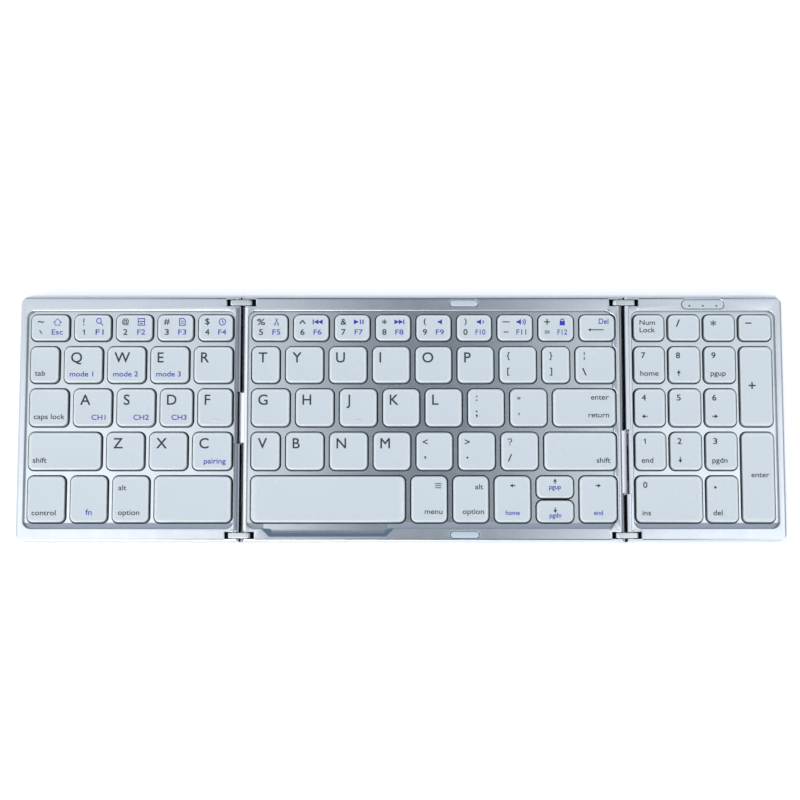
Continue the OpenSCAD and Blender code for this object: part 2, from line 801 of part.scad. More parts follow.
// The window's flat top and its three light pipes
module indicator_window() {
    color("white") {
        layer([rim_z - window_t, rim_z - 0.1]) translate([window_mid, window_y])
            pill(window_l, window_w);
        for (i = [-1 : 1])
            translate([window_mid + i * lamp_pitch, lamp_y, board_z + board_t + lamp_h + 0.1])
                cylinder(rim_z - window_t - board_z - board_t - lamp_h, pipe_r, pipe_r);
    }
}

// A link: round at the centre's pin, square at the wing's pin, with a bore for each pin
module links(pin_x, side) {
    for (end = [-1, 1])
        along_y([end * link_y - link_t / 2, end * link_y + link_t / 2])
            translate([pin_x, pin_z]) mirror([side > 0 ? 1 : 0, 0]) difference() {
                union() {
                    circle(link_r);
                    soft_rect([-pin_span - link_r, 0], [-link_r, link_r],
                        [link_corner_r, 0, 0, link_corner_r]);
                }
                circle(pin_r);
                translate([-pin_span, 0]) circle(pin_r);
            }
}

module left_links() {
    color("silver") links(left_slit + center_pin_in, -1);
}

module right_links() {
    color("silver") links(right_slit - center_pin_in, 1);
}

module hinge_pins(xs) {
    for (x = xs, end = [0, 1])
        mirror([0, end, 0]) translate([x, pocket_in - pin_seat, pin_z]) rotate([-90, 0, 0])
            cylinder(half_d - pin_end_in - pocket_in + pin_seat, pin_r, pin_r);
}

module left_hinge_pins() {
    color("gray") hinge_pins([left_slit + center_pin_in, left_slit - wing_pin_in]);
}

module right_hinge_pins() {
    color("gray") hinge_pins([right_slit - center_pin_in, right_slit + wing_pin_in]);
}

// Flat cable from one panel to the other, with a smooth dip where it crosses the notch
module flex_cable(slit_x, side, y) {
    reach = 9;
    mid = slit_x + side * 0.6;
    half = 1;
    steps = 12;
    under = [for (i = [0 : steps]) let (t = i / steps)
        [mid - half + 2 * half * t, flex_z - flex_dip * (1 - cos(360 * t)) / 2]];
    path = concat([[slit_x - reach, flex_z]], under, [[slit_x + reach, flex_z]]);
    along_y([y - flex_w / 2, y + flex_w / 2])
        polygon(concat(path, [for (i = [len(path) - 1 : -1 : 0]) path[i] + [0, flex_t]]));
}

module left_flex_cable() {
    color("darkorange") flex_cable(left_slit, -1, left_boss_y);
}

module right_flex_cable() {
    color("darkorange") flex_cable(right_slit, 1, right_boss_y);
}

// Keycaps: rounded outline, a bevel round the top and a hollow underside
module keycaps(keys) {
    color("ghostwhite") for (k = keys)
        difference() {
            intersection() {
                layer([cap_z, cap_top_z]) key_plan(k, 0);
                along_x([k[0] - cut, k[1] + cut]) bevelled(k[2], k[3]);
                along_y([k[2] - cut, k[3] + cut]) bevelled(k[0], k[1]);
            }
            translate([k[0] + cap_wall, k[2] + cap_wall, cap_z - cut])
                cube([k[1] - k[0] - 2 * cap_wall, k[3] - k[2] - 2 * cap_wall,
                    cap_ceiling - cap_z + cut]);
        }
}

module bevelled(a, b) {
    polygon([[a, cap_z], [b, cap_z], [b, cap_top_z - cap_bevel], [b - cap_bevel, cap_top_z],
        [a + cap_bevel, cap_top_z], [a, cap_top_z - cap_bevel]]);
}

center_frame();
center_deck();
center_bottom_cover();
center_switch_plate();
center_domes();
center_scissors();
battery();
bumper_pads();
center_feet();
center_screws();
left_frame();
left_deck();
left_bottom_cover();
left_switch_plate();
left_domes();
left_scissors();
left_feet();
left_screws();
left_magnets();
right_frame();
right_deck();
right_bottom_cover();
right_switch_plate();
right_domes();
right_scissors();
main_board();
charge_socket();
indicator_window();
right_feet();
right_screws();
right_magnets();
left_links();
right_links();
left_hinge_pins();
right_hinge_pins();
left_flex_cable();
right_flex_cable();
keycaps(left_row1);  // keys_number_left
keycaps([left_row2[0]]);  // key_tab
keycaps(pick(left_row2, 1, 4));  // keys_upper_left
keycaps([left_row3[0]]);  // key_caps_lock
keycaps(pick(left_row3, 1, 4));  // keys_home_left
keycaps([left_row4[0]]);  // key_shift_left
keycaps(pick(left_row4, 1, 3));  // keys_lower_left
keycaps(pick(left_row5, 0, 2));  // keys_modifier_left
keycaps([left_row5[3]]);  // key_space_left
keycaps(center_row1);  // keys_number_center
keycaps(center_row2);  // keys_upper_center
keycaps(pick(center_row3, 0, 6));  // keys_home_center
keycaps([center_row3[7]]);  // key_enter
keycaps(pick(center_row4, 0, 6));  // keys_lower_center
keycaps([center_row4[7]]);  // key_shift_right
keycaps([center_row5[0]]);  // key_space
keycaps(pick(center_row5, 1, 2));  // keys_modifier_right
keycaps(arrows);  // keys_arrow
keycaps(right_row1);  // keys_pad_top
keycaps(pad_digits);  // keys_pad_digits
keycaps([tall_plus]);  // key_pad_plus
keycaps([tall_enter]);  // key_pad_enter
keycaps(pad_bottom);  // keys_pad_bottom
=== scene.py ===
import bpy
import bmesh
import json
import math
import numpy as np
from mathutils import Euler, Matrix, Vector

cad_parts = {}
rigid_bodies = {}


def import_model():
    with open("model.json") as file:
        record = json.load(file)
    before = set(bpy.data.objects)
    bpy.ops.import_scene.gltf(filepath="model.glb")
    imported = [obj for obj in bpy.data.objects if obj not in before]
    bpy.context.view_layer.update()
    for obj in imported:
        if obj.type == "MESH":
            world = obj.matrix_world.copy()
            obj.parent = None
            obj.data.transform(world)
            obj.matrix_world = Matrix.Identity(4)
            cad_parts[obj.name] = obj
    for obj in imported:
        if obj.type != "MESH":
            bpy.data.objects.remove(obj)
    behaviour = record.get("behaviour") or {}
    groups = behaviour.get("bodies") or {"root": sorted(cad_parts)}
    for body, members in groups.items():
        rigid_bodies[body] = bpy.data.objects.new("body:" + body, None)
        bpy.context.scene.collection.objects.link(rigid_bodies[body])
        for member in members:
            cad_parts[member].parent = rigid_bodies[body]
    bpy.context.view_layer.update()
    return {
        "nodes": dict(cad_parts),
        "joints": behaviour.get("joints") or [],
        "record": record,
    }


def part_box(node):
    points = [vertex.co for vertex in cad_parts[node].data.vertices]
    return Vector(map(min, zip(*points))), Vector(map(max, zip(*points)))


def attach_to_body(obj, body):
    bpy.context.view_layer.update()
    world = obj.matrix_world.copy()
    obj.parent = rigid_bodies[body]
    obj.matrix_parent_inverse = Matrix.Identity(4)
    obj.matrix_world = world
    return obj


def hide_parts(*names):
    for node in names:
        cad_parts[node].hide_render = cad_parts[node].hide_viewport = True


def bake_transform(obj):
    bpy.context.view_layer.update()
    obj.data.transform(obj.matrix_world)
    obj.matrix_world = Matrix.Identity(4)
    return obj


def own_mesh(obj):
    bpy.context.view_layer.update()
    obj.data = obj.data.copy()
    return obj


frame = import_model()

# Folding keyboard in three panels. Lengths are millimetres, and metres where a comment says so.
mm = 0.001
scene = bpy.context.scene
bodyOf = {n: b for b, nodes in frame["record"]["behaviour"]["bodies"].items() for n in nodes}
panelOf = {j["child"]: j["parent"] for j in frame["joints"]}
panels = {"center": "center", "left": "left_wing", "right": "right_wing"}
print("stage: frame loaded,", len(frame["nodes"]), "nodes")


# Helpers for meshes

def newPiece(name, points, faces, material, smoothAngle=35):
    # points in millimetres, faces as lists of indices
    mesh = bpy.data.meshes.new(name)
    mesh.from_pydata((np.asarray(points, float) * mm).tolist(), [], faces)
    mesh.update()
    mesh.shade_smooth()
    mesh.set_sharp_from_angle(angle=math.radians(smoothAngle))
    mesh.materials.append(material)
    obj = bpy.data.objects.new(name, mesh)
    scene.collection.objects.link(obj)
    return obj


def attach(obj, body, slotName, *nodes):
    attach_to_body(obj, body)
    if nodes:
        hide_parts(*nodes)
    return obj


def setMask(obj, name, values, domain="POINT"):
    # a named mask from 0 to 1 on the mesh's points or faces, read by its material
    mask = obj.data.attributes.new(name, "FLOAT", domain)
    mask.data.foreach_set("value", np.asarray(values, np.float32))


def gridFaces(rows, count, closed=True):
    # quads between neighbouring rows of a grid of rows x count points
    r = np.arange(rows - 1)[:, None]
    c = np.arange(count if closed else count - 1)[None, :]
    n = (c + 1) % count
    quads = np.stack(np.broadcast_arrays(r * count + c, r * count + n, (r + 1) * count + n,
                                         (r + 1) * count + c), axis=-1)
    return quads.reshape(-1, 4).tolist()


def lidFaces(start, count, centre, flip):
    # a fan of triangles from one ring of the grid to a centre point
    c = np.arange(count)
    ring = np.stack([start + c, start + (c + 1) % count, np.full(count, centre)], axis=-1)
    return (ring[:, ::-1] if flip else ring).tolist()


def closedGrid(grid):
    # a grid of rings with both ends closed by a fan to the ring's middle
    rows, count = grid.shape[:2]
    points = np.vstack([grid.reshape(-1, 3), grid[0].mean(axis=0), grid[-1].mean(axis=0)])
    faces = gridFaces(rows, count)
    faces += lidFaces(0, count, rows * count, True)
    faces += lidFaces((rows - 1) * count, count, rows * count + 1, False)
    return points, faces


def joined(shapes):
    # several (points, faces) as one
    allPoints, allFaces, start = [], [], 0
    for points, faces in shapes:
        allPoints.append(np.asarray(points, float))
        allFaces += [[i + start for i in f] for f in faces]
        start += len(points)
    return np.vstack(allPoints), allFaces


def revolve(profile, x, y, count):
    # a profile of (radius, height) pairs turned about the upright axis at (x, y)
    profile = np.asarray(profile, float)
    t = np.linspace(0, 2 * math.pi, count, endpoint=False)[None, :]
    grid = np.stack(np.broadcast_arrays(x + profile[:, :1] * np.cos(t), y + profile[:, :1] * np.sin(t),
                                        profile[:, 1:]), axis=-1)
    return closedGrid(grid)


def pieceOf(shapes, name, finish, body, slotName, *nodes, smoothAngle=35):
    # several (points, faces) as one finished piece on its body
    points, faces = joined(shapes)
    return attach(newPiece(name, points, faces, materials[finish], smoothAngle), body, slotName, *nodes)


def unit(rows):
    # each row at length 1
    return rows / np.maximum(np.linalg.norm(rows, axis=1), 1e-12)[:, None]


def meshPoints(mesh):
    co = np.empty(len(mesh.vertices) * 3)
    mesh.vertices.foreach_get("co", co)
    return co.reshape(-1, 3)


def solidBoxes(node):
    # the box of each solid in a CAD node: points in one place share a number, and each triangle
    # gives its lowest number to its corners until nothing changes
    mesh = frame["nodes"][node].data
    mesh.calc_loop_triangles()
    co = meshPoints(mesh) / mm
    tri = np.empty(len(mesh.loop_triangles) * 3, int)
    mesh.loop_triangles.foreach_get("vertices", tri)
    same = np.unique(np.round(co * 1000).astype(np.int64), axis=0, return_inverse=True)[1].ravel()
    corner = same[tri].reshape(-1, 3)
    label = np.arange(same.max() + 1)
    while True:
        lower = label.copy()
        np.minimum.at(lower, corner.ravel(), np.repeat(label[corner].min(axis=1), 3))
        lower = lower[lower]
        if (lower == label).all():
            break
        label = lower
    ids = label[same]
    boxes = [(co[ids == i].min(axis=0), co[ids == i].max(axis=0)) for i in np.unique(ids)]
    return sorted(boxes, key=lambda b: (-round(b[1][1]), b[0][0]))


def middleOf(box):
    return (box[0] + box[1])[:2] / 2


# Helpers for shader nodes

socketKinds = {"Color": "NodeSocketColor", "Normal": "NodeSocketVector"}


def srgb(r, g, b):
    # a screen colour from 0 to 255 as the linear colour that a shader takes
    c = np.array([r, g, b], float) / 255
    lin = np.where(c <= 0.04045, c / 12.92, ((c + 0.055) / 1.055) ** 2.4)
    return (float(lin[0]), float(lin[1]), float(lin[2]), 1.0)


def feed(tree, socket, value):
    # a link where the value is a node's output, else the socket's own plain value
    if hasattr(value, "is_output"):
        tree.links.new(value, socket)
    else:
        socket.default_value = value


def newGroup(name, outputs, **inputs):
    # a group whose inputs are colours where their value is a tuple, and numbers elsewhere
    group = bpy.data.node_groups.new(name, "ShaderNodeTree")
    for title, value in inputs.items():
        kind = "NodeSocketColor" if isinstance(value, tuple) else "NodeSocketFloat"
        socket = group.interface.new_socket(title.replace("_", " "), in_out="INPUT", socket_type=kind)
        socket.default_value = value
    for title in outputs:
        kind = socketKinds.get(title, "NodeSocketFloat")
        group.interface.new_socket(title, in_out="OUTPUT", socket_type=kind)
    return group, group.nodes.new("NodeGroupInput").outputs, group.nodes.new("NodeGroupOutput").inputs


def mathNode(tree, kind, *values, clamp=False):
    node = tree.nodes.new("ShaderNodeMath")
    node.operation = kind
    node.use_clamp = clamp
    for socket, value in zip(node.inputs, values):
        feed(tree, socket, value)
    return node.outputs[0]


def noiseNode(tree, vector, scale, detail=3.0, rough=0.55):
    node = tree.nodes.new("ShaderNodeTexNoise")
    for title, value in (("Vector", vector), ("Scale", scale), ("Detail", detail), ("Roughness", rough)):
        feed(tree, node.inputs[title], value)
    return node.outputs["Fac"]


def mixColor(tree, factor, a, b):
    node = tree.nodes.new("ShaderNodeMix")
    node.data_type = "RGBA"
    for i, value in ((0, factor), (6, a), (7, b)):
        feed(tree, node.inputs[i], value)
    return node.outputs[2]


def rampNode(tree, value, a, b, low=0.0, high=1.0, kind="SMOOTHSTEP"):
    node = tree.nodes.new("ShaderNodeMapRange")
    node.interpolation_type = kind
    for title, v in (("Value", value), ("From Min", a), ("From Max", b), ("To Min", low), ("To Max", high)):
        feed(tree, node.inputs[title], v)
    return node.outputs["Result"]


def objectPlace(tree):
    return tree.nodes.new("ShaderNodeTexCoord").outputs["Object"]


def splitNode(tree, vector):
    node = tree.nodes.new("ShaderNodeSeparateXYZ")
    tree.links.new(vector, node.inputs[0])
    return node.outputs


def productOf(tree, *values):
    out = values[0]
    for v in values[1:]:
        out = mathNode(tree, "MULTIPLY", out, v)
    return out


# Shared effects as shader groups. Their scales and places are in metres.

def grainGroup(group, take, give, other, mask, spread, height, bumpDistance):
    # two tones mixed by a mask, roughness spread about its middle by a noise, and a small bump
    group.links.new(mixColor(group, mask, take["Color"], take[other]), give["Color"])
    around = mathNode(group, "SUBTRACT", spread, 0.5)
    rough = mathNode(group, "MULTIPLY_ADD", around, take["Spread"], take["Roughness"])
    group.links.new(rough, give["Roughness"])
    bump = group.nodes.new("ShaderNodeBump")
    bump.inputs["Distance"].default_value = bumpDistance
    group.links.new(take["Depth"], bump.inputs["Strength"])
    group.links.new(height, bump.inputs["Height"])
    group.links.new(bump.outputs["Normal"], give["Normal"])
    return group


def makeFineGrain():
    # moulded or blasted grain: cloudy tone, spread of roughness and a small bump
    group, take, give = newGroup(
        "fineGrain", ("Color", "Roughness", "Normal"), Color=(0.8, 0.8, 0.8, 1), Shade=(0.7, 0.7, 0.7, 1),
        Cloud_Scale=60.0, Grain_Scale=9000.0, Speckle=0.15, Depth=0.2, Roughness=0.5, Spread=0.05)
    place = objectPlace(group)
    cloud = noiseNode(group, place, take["Cloud Scale"], 4.0)
    grain = noiseNode(group, place, take["Grain Scale"], 2.0)
    speck = mathNode(group, "MULTIPLY", mathNode(group, "SUBTRACT", grain, 0.5), take["Speckle"])
    mask = mathNode(group, "ADD", mathNode(group, "MULTIPLY_ADD", cloud, 1.6, -0.3), speck, clamp=True)
    return grainGroup(group, take, give, "Shade", mask, cloud, grain, 0.00003)


def makeBrushed():
    # long fine lines along X: noise that is squeezed across the lines
    group, take, give = newGroup(
        "brushed", ("Color", "Roughness", "Normal"), Color=(0.7, 0.7, 0.7, 1), Line=(0.6, 0.6, 0.6, 1),
        Scale=4000.0, Squeeze=0.02, Depth=0.15, Roughness=0.35, Spread=0.15)
    x, y, z = splitNode(group, objectPlace(group))
    drawn = group.nodes.new("ShaderNodeCombineXYZ")
    for socket, value in zip(drawn.inputs, (mathNode(group, "MULTIPLY", x, take["Squeeze"]), y, z)):
        group.links.new(value, socket)
    lines = noiseNode(group, drawn.outputs[0], take["Scale"], 3.0, 0.6)
    return grainGroup(group, take, give, "Line", lines, lines, lines, 0.00002)


def coatGroup(group, take, give, over, mask, roughShift):
    # a second colour laid on by a mask, which shifts the roughness too
    group.links.new(mixColor(group, mask, take["Color"], take[over]), give["Color"])
    group.links.new(mathNode(group, "MULTIPLY_ADD", mask, roughShift, take["Roughness"]), give["Roughness"])
    return group


def makeEdgeWear():
    # rubbed edges: the piece's own edge mask, broken up by noise, shifts the colour and the gloss
    group, take, give = newGroup(
        "edgeWear", ("Color", "Roughness"), Color=(0.8, 0.8, 0.8, 1), Worn=(0.9, 0.9, 0.9, 1),
        Roughness=0.4, Edge=0.0, Amount=0.5, Scale=700.0)
    broken = noiseNode(group, objectPlace(group), take["Scale"], 3.0)
    mask = mathNode(group, "MULTIPLY", take["Edge"], mathNode(group, "MULTIPLY_ADD", broken, 1.4, -0.1))
    mask = mathNode(group, "MULTIPLY", mask, take["Amount"], clamp=True)
    return coatGroup(group, take, give, "Worn", mask, -0.12)


def makeDust():
    # a faint film in clouds
    group, take, give = newGroup(
        "dust", ("Color", "Roughness"), Color=(0.8, 0.8, 0.8, 1), Dust=(0.6, 0.6, 0.58, 1),
        Roughness=0.4, Amount=0.2, Scale=220.0)
    cloud = noiseNode(group, objectPlace(group), take["Scale"], 5.0, 0.65)
    mask = mathNode(group, "MULTIPLY", mathNode(group, "MULTIPLY_ADD", cloud, 2.0, -0.7, clamp=True),
                    take["Amount"])
    return coatGroup(group, take, give, "Dust", mask, 0.3)


def makePaintedLight():
    # painted light: the piece's own mask lays a painted tone over the surface and dulls it, a dark tone for
    # painted shade in deep places that light doesn't reach and a pale one for a painted highlight
    group, take, give = newGroup(
        "paintedLight", ("Color", "Roughness"), Color=(0.8, 0.8, 0.8, 1), Deep=(0.02, 0.02, 0.02, 1),
        Roughness=0.4, Mask=0.0)
    return coatGroup(group, take, give, "Deep", take["Mask"], 0.4)


def makeWallShade():
    # the key web's front strip, in the shade of the well's front wall: full where Y is below Far and
    # none above Near, and none between the two sides of the thumb scoop, where there is no wall
    group, take, give = newGroup("wallShade", ("Mask",), Near=-0.0412, Far=-0.0416, Scoop_Left=0.0,
                                 Scoop_Right=0.0, Amount=0.5)
    x, y = splitNode(group, objectPlace(group))[:2]
    strip = rampNode(group, y, take["Near"], take["Far"], kind="LINEAR")
    inScoop = mathNode(group, "MULTIPLY", mathNode(group, "GREATER_THAN", x, take["Scoop Left"]),
                       mathNode(group, "LESS_THAN", x, take["Scoop Right"]))
    walled = mathNode(group, "SUBTRACT", 1.0, inScoop)
    group.links.new(productOf(group, strip, walled, take["Amount"]), give["Mask"])
    return group


def makeRailBand():
    # a straight band on the rail beside a slit: full where X lies within Half of Middle, and only as
    # far along Y as the rail runs between its links
    group, take, give = newGroup("railBand", ("Mask",), Middle=0.0, Half=0.0008, Rail_Half=0.0445,
                                 Soft=0.0003, Amount=0.5)
    x, y = splitNode(group, objectPlace(group))[:2]
    aside = mathNode(group, "ABSOLUTE", mathNode(group, "SUBTRACT", x, take["Middle"]))
    within = mathNode(group, "SUBTRACT", take["Half"], aside)
    inside = mathNode(group, "DIVIDE", within, take["Soft"], clamp=True)
    along = mathNode(group, "LESS_THAN", mathNode(group, "ABSOLUTE", y), take["Rail Half"])
    group.links.new(productOf(group, inside, along, take["Amount"]), give["Mask"])
    return group


fineGrain = makeFineGrain()
brushed = makeBrushed()
edgeWear = makeEdgeWear()
dust = makeDust()
paintedLight = makePaintedLight()
wallShade = makeWallShade()
railBand = makeRailBand()


# Materials

def newMaterial(name, **plain):
    mat = bpy.data.materials.new(name)
    mat.use_nodes = True
    shader = mat.node_tree.nodes["Principled BSDF"]
    for title, value in plain.items():
        shader.inputs[title.replace("_", " ")].default_value = value
    return mat, mat.node_tree, shader


def useGroup(tree, group, **values):
    node = tree.nodes.new("ShaderNodeGroup")
    node.node_tree = group
    for title, value in values.items():
        feed(tree, node.inputs[title.replace("_", " ")], value)
    return node


def laidOver(tree, below, group, **values):
    # one more effect over the colour and roughness of the one below
    base = {title: below.outputs[title] for title in ("Color", "Roughness")}
    return useGroup(tree, group, **base, **values)


def maskOf(tree, name):
    # a mask from 0 to 1 that the piece's mesh carries; a mesh without it gives 0
    node = tree.nodes.new("ShaderNodeAttribute")
    node.attribute_name = name
    return node.outputs["Fac"]


def finishShader(tree, shader, look, bump):
    for title, source in (("Base Color", look.outputs["Color"]), ("Roughness", look.outputs["Roughness"]),
                          ("Normal", bump.outputs["Normal"])):
        tree.links.new(source, shader.inputs[title])


def metalGrain(title, color, shade, rough, speckle=0.35, depth=0.05, wear=0.5, paintedLights=()):
    mat, tree, shader = newMaterial(title, Metallic=1.0)
    grain = useGroup(tree, fineGrain, Color=srgb(*color), Shade=srgb(*shade), Cloud_Scale=45.0,
                     Grain_Scale=5200.0, Speckle=speckle, Depth=depth, Roughness=rough, Spread=0.06)
    look = laidOver(tree, grain, dust, Dust=srgb(188, 190, 192), Amount=0.1)
    look = laidOver(tree, look, edgeWear, Worn=srgb(244, 246, 248), Edge=maskOf(tree, "edge"), Amount=wear)
    # painted shade in the slits, the link pockets and on the well walls
    look = laidOver(tree, look, paintedLight, Deep=srgb(52, 56, 62), Mask=maskOf(tree, "paintedLight"))
    # painted highlight on the cable bosses
    look = laidOver(tree, look, paintedLight, Deep=srgb(250, 250, 255), Mask=maskOf(tree, "paintedHighlight"))
    # painted bands: painted shade on the web's front strip, a painted reflection on one rail and a painted
    # highlight on the other
    for group, painted, place in paintedLights:
        strip = useGroup(tree, group, **place)
        look = laidOver(tree, look, paintedLight, Deep=srgb(*painted), Mask=strip.outputs["Mask"])
    finishShader(tree, shader, look, grain)
    return mat


def plasticGrain(title, color, shade, rough, scale=6500.0, depth=0.05, speckle=0.1, wear=0.35, ior=1.5):
    mat, tree, shader = newMaterial(title, IOR=ior)
    grain = useGroup(tree, fineGrain, Color=srgb(*color), Shade=srgb(*shade), Cloud_Scale=38.0,
                     Grain_Scale=scale, Speckle=speckle, Depth=depth, Roughness=rough, Spread=0.08)
    look = laidOver(tree, grain, edgeWear, Worn=srgb(236, 241, 244), Edge=maskOf(tree, "edge"), Amount=wear)
    # painted shade on the caps' lower sides and round the seats of the pads and the window
    look = laidOver(tree, look, paintedLight, Deep=srgb(70, 78, 85), Mask=maskOf(tree, "paintedLight"))
    finishShader(tree, shader, look, grain)
    return mat


def brushedMetal(title, color, line, rough):
    mat, tree, shader = newMaterial(title, Metallic=1.0)
    lines = useGroup(tree, brushed, Color=srgb(*color), Line=srgb(*line), Scale=2600.0, Squeeze=0.015,
                     Depth=0.12, Roughness=rough, Spread=0.2)
    look = laidOver(tree, lines, dust, Dust=srgb(150, 150, 148), Amount=0.2)
    finishShader(tree, shader, look, lines)
    return mat


# the left slit's rails get a dark band of painted reflection on the wing's side and a bright band of painted
# highlight on the centre's side
railShadeAndHighlight = ((railBand, (70, 80, 98), dict(Middle=-0.0654, Half=0.0009, Amount=0.6)),
              (railBand, (250, 252, 255), dict(Middle=-0.0619, Half=0.0008, Amount=0.75)))
webShades = ((wallShade, (96, 110, 134), dict(Scoop_Left=-0.0545, Scoop_Right=-0.0055, Amount=0.55)),)

metals = {
    "rim": dict(title="blastedRim", color=(200, 207, 214), shade=(192, 199, 207), rough=0.16, wear=0.12,
                paintedLights=railShadeAndHighlight),
    "web": dict(title="blastedWeb", color=(196, 204, 210), shade=(186, 195, 202), rough=0.13, speckle=0.5,
                depth=0.04, paintedLights=webShades),
    "link": dict(title="brightLink", color=(208, 213, 218), shade=(194, 200, 206), rough=0.2, speckle=0.2,
                 depth=0.04, wear=0.8),
}
plastics = {
    "cap": dict(title="keycapPlastic", color=(194, 203, 208), shade=(192, 201, 207), rough=0.27, depth=0.015,
                ior=1.64),
    "pad": dict(title="paleRubber", color=(184, 196, 207), shade=(176, 189, 201), rough=0.55, scale=3500.0,
                depth=0.25, wear=0.2),
    "window": dict(title="milkyWindow", color=(186, 197, 201), shade=(178, 190, 195), rough=0.18, depth=0.02,
                   speckle=0.05, ior=1.49),
    "foot": dict(title="footRubber", color=(46, 47, 49), shade=(60, 61, 63), rough=0.8, scale=3000.0,
                 depth=0.4, wear=0.0),
    "ink": dict(title="darkInk", color=(34, 41, 45), shade=(42, 49, 53), rough=0.6, wear=0.0),
    "blueInk": dict(title="blueInk", color=(36, 32, 156), shade=(46, 44, 168), rough=0.6, wear=0.0),
    "dome": dict(title="domeSilicone", color=(214, 214, 208), shade=(202, 202, 197), rough=0.6),
    "lever": dict(title="leverPlastic", color=(226, 226, 224), shade=(216, 216, 214), rough=0.45),
    "flex": dict(title="flexAmber", color=(84, 56, 30), shade=(70, 46, 24), rough=0.4),
    "cell": dict(title="cellFoil", color=(170, 173, 176), shade=(156, 159, 162), rough=0.3),
    "board": dict(title="boardMask", color=(30, 88, 54), shade=(24, 74, 46), rough=0.35),
    "lamp": dict(title="lampSmoke", color=(40, 44, 50), shade=(52, 56, 62), rough=0.2),
}
brushedMetals = {
    "cover": dict(title="brushedCover", color=(205, 209, 213), line=(178, 183, 188), rough=0.34),
    "plate": dict(title="plateSteel", color=(44, 46, 49), line=(34, 36, 39), rough=0.5),
    "pin": dict(title="pinSteel", color=(188, 190, 192), line=(170, 172, 175), rough=0.22),
    "screw": dict(title="screwSteel", color=(150, 152, 156), line=(128, 130, 134), rough=0.32),
    "magnet": dict(title="magnetNickel", color=(206, 204, 198), line=(190, 188, 182), rough=0.16),
    "socket": dict(title="socketSteel", color=(196, 198, 201), line=(180, 182, 185), rough=0.25),
    "contact": dict(title="contactGold", color=(214, 178, 104), line=(196, 160, 90), rough=0.25),
}
materials = {}
for make, looks in ((metalGrain, metals), (plasticGrain, plastics), (brushedMetal, brushedMetals)):
    for name, look in looks.items():
        materials[name] = make(**look)
print("stage: materials made,", len(materials))


# Keycaps

# skirt and seenSide place painted shade on each cap's lower side: higher on the side that the camera sees,
# paler along the lit front
keycap = dict(radius=2.3, bevel=0.75, bevelSteps=5, wall=1.0, top=1.2, dish=0.1, lip=0.12, perCorner=7,
              perSide=5, ceilingInset=2.2, chamfer=0.1, topShares=(0.985, 0.93, 0.82, 0.66, 0.48, 0.28, 0.1),
              skirt=dict(start=0.22, width=0.25, front=0.19, back=0.02, side=0.3, frontPale=0.3),
              seenSide=dict(left_wing=1.0, center=0.3, right_wing=-1.0))
homingBar = dict(long=3.4, wide=0.55, tall=0.22, inset=2.4, sunk=0.05, count=13,
                 keys=("keys_home_left:3", "keys_home_center:2"))


def roundedRings(box, insets, radius, perCorner, perSide):
    # outlines of a rounded rectangle, one for each inset, as an array of insets x points x 2:
    # corner centre plus radius times (cos, sin), then the straight side in even steps
    insets = np.asarray(insets, float)[:, None]
    r = np.maximum(radius - insets, 0.25)
    halfX, halfY = (box[1] - box[0])[:2] / 2
    turn = np.linspace(0, math.pi / 2, perCorner)[None, :]
    corners = []
    for k, (sx, sy) in enumerate(((1, 1), (-1, 1), (-1, -1), (1, -1))):
        angle = turn + k * math.pi / 2
        corners.append(np.stack([sx * (halfX - insets - r) + r * np.cos(angle),
                                 sy * (halfY - insets - r) + r * np.sin(angle)], axis=-1))
    share = (np.arange(1, perSide + 1) / (perSide + 1))[None, :, None]
    out = []
    for corner, following in zip(corners, corners[1:] + corners[:1]):
        out += [corner, corner[:, -1:] + (following[:, :1] - corner[:, -1:]) * share]
    return np.concatenate(out, axis=1) + middleOf(box)


def dishHeight(box, x, y):
    # top height less the dish depth times (1 - u^2)(1 - v^2), with u and v from -1 to 1 over the cap
    low, high = box
    u = (2 * x - low[0] - high[0]) / (high[0] - low[0])
    v = (2 * y - low[1] - high[1]) / (high[1] - low[1])
    return high[2] - keycap["dish"] * np.clip(1 - u * u, 0, 1) * np.clip(1 - v * v, 0, 1)


def skirtShadeMask(points, low, high, seen):
    # painted shade on the skirt: the mask grows from 0 to 1 over a set width as a point drops below the top.
    # It starts higher up on the front, the back and the side that the viewer sees, by the fourth
    # power of the share of the way to that edge, and is paler along the front.
    s = keycap["skirt"]
    u, v = ((2 * points[:, :2] - low[:2] - high[:2]) / (high[:2] - low[:2])).T
    front, back = np.clip(-v, 0, 1) ** 4, np.clip(v, 0, 1) ** 4
    start = s["start"] - s["front"] * front - s["back"] * back - s["side"] * seen * np.sign(u) * u ** 4
    painted = np.clip((high[2] - points[:, 2] - np.maximum(start, 0)) / s["width"], 0, 1)
    return painted * (1 - s["frontPale"] * front)


def capShape(box, seen):
    # one keycap from the ceiling of its hollow, down the inner wall, round the lip, up the side,
    # over the rounded bevel (a quarter circle) and across the dished top to the middle
    low, high = box
    k = keycap
    ceiling = high[2] - k["top"]
    turn = np.linspace(0, math.pi / 2, k["bevelSteps"])
    insets = [k["ceilingInset"], k["wall"] + k["chamfer"], k["wall"], k["wall"], k["lip"], 0.0]
    heights = [ceiling, ceiling, ceiling - k["chamfer"], low[2], low[2], low[2] + k["lip"]]
    plainRings = len(insets)
    insets += list(k["bevel"] * (1 - np.cos(turn)))
    heights += list(high[2] - k["bevel"] + k["bevel"] * np.sin(turn))
    rings = roundedRings(box, insets, k["radius"], k["perCorner"], k["perSide"])
    middle = middleOf(box)
    inner = middle + (rings[-1] - middle)[None] * np.array(k["topShares"])[:, None, None]
    z = np.concatenate([np.broadcast_to(np.array(heights)[:, None], rings.shape[:2]),
                        dishHeight(box, inner[..., 0], inner[..., 1])])
    points, faces = closedGrid(np.concatenate([np.concatenate([rings, inner]), z[..., None]], axis=-1))
    count = rings.shape[1]
    edge = np.zeros(len(points))
    edge[plainRings * count:(len(insets) + 1) * count] = 1.0
    return points, faces, edge, skirtShadeMask(points, low, high, seen)


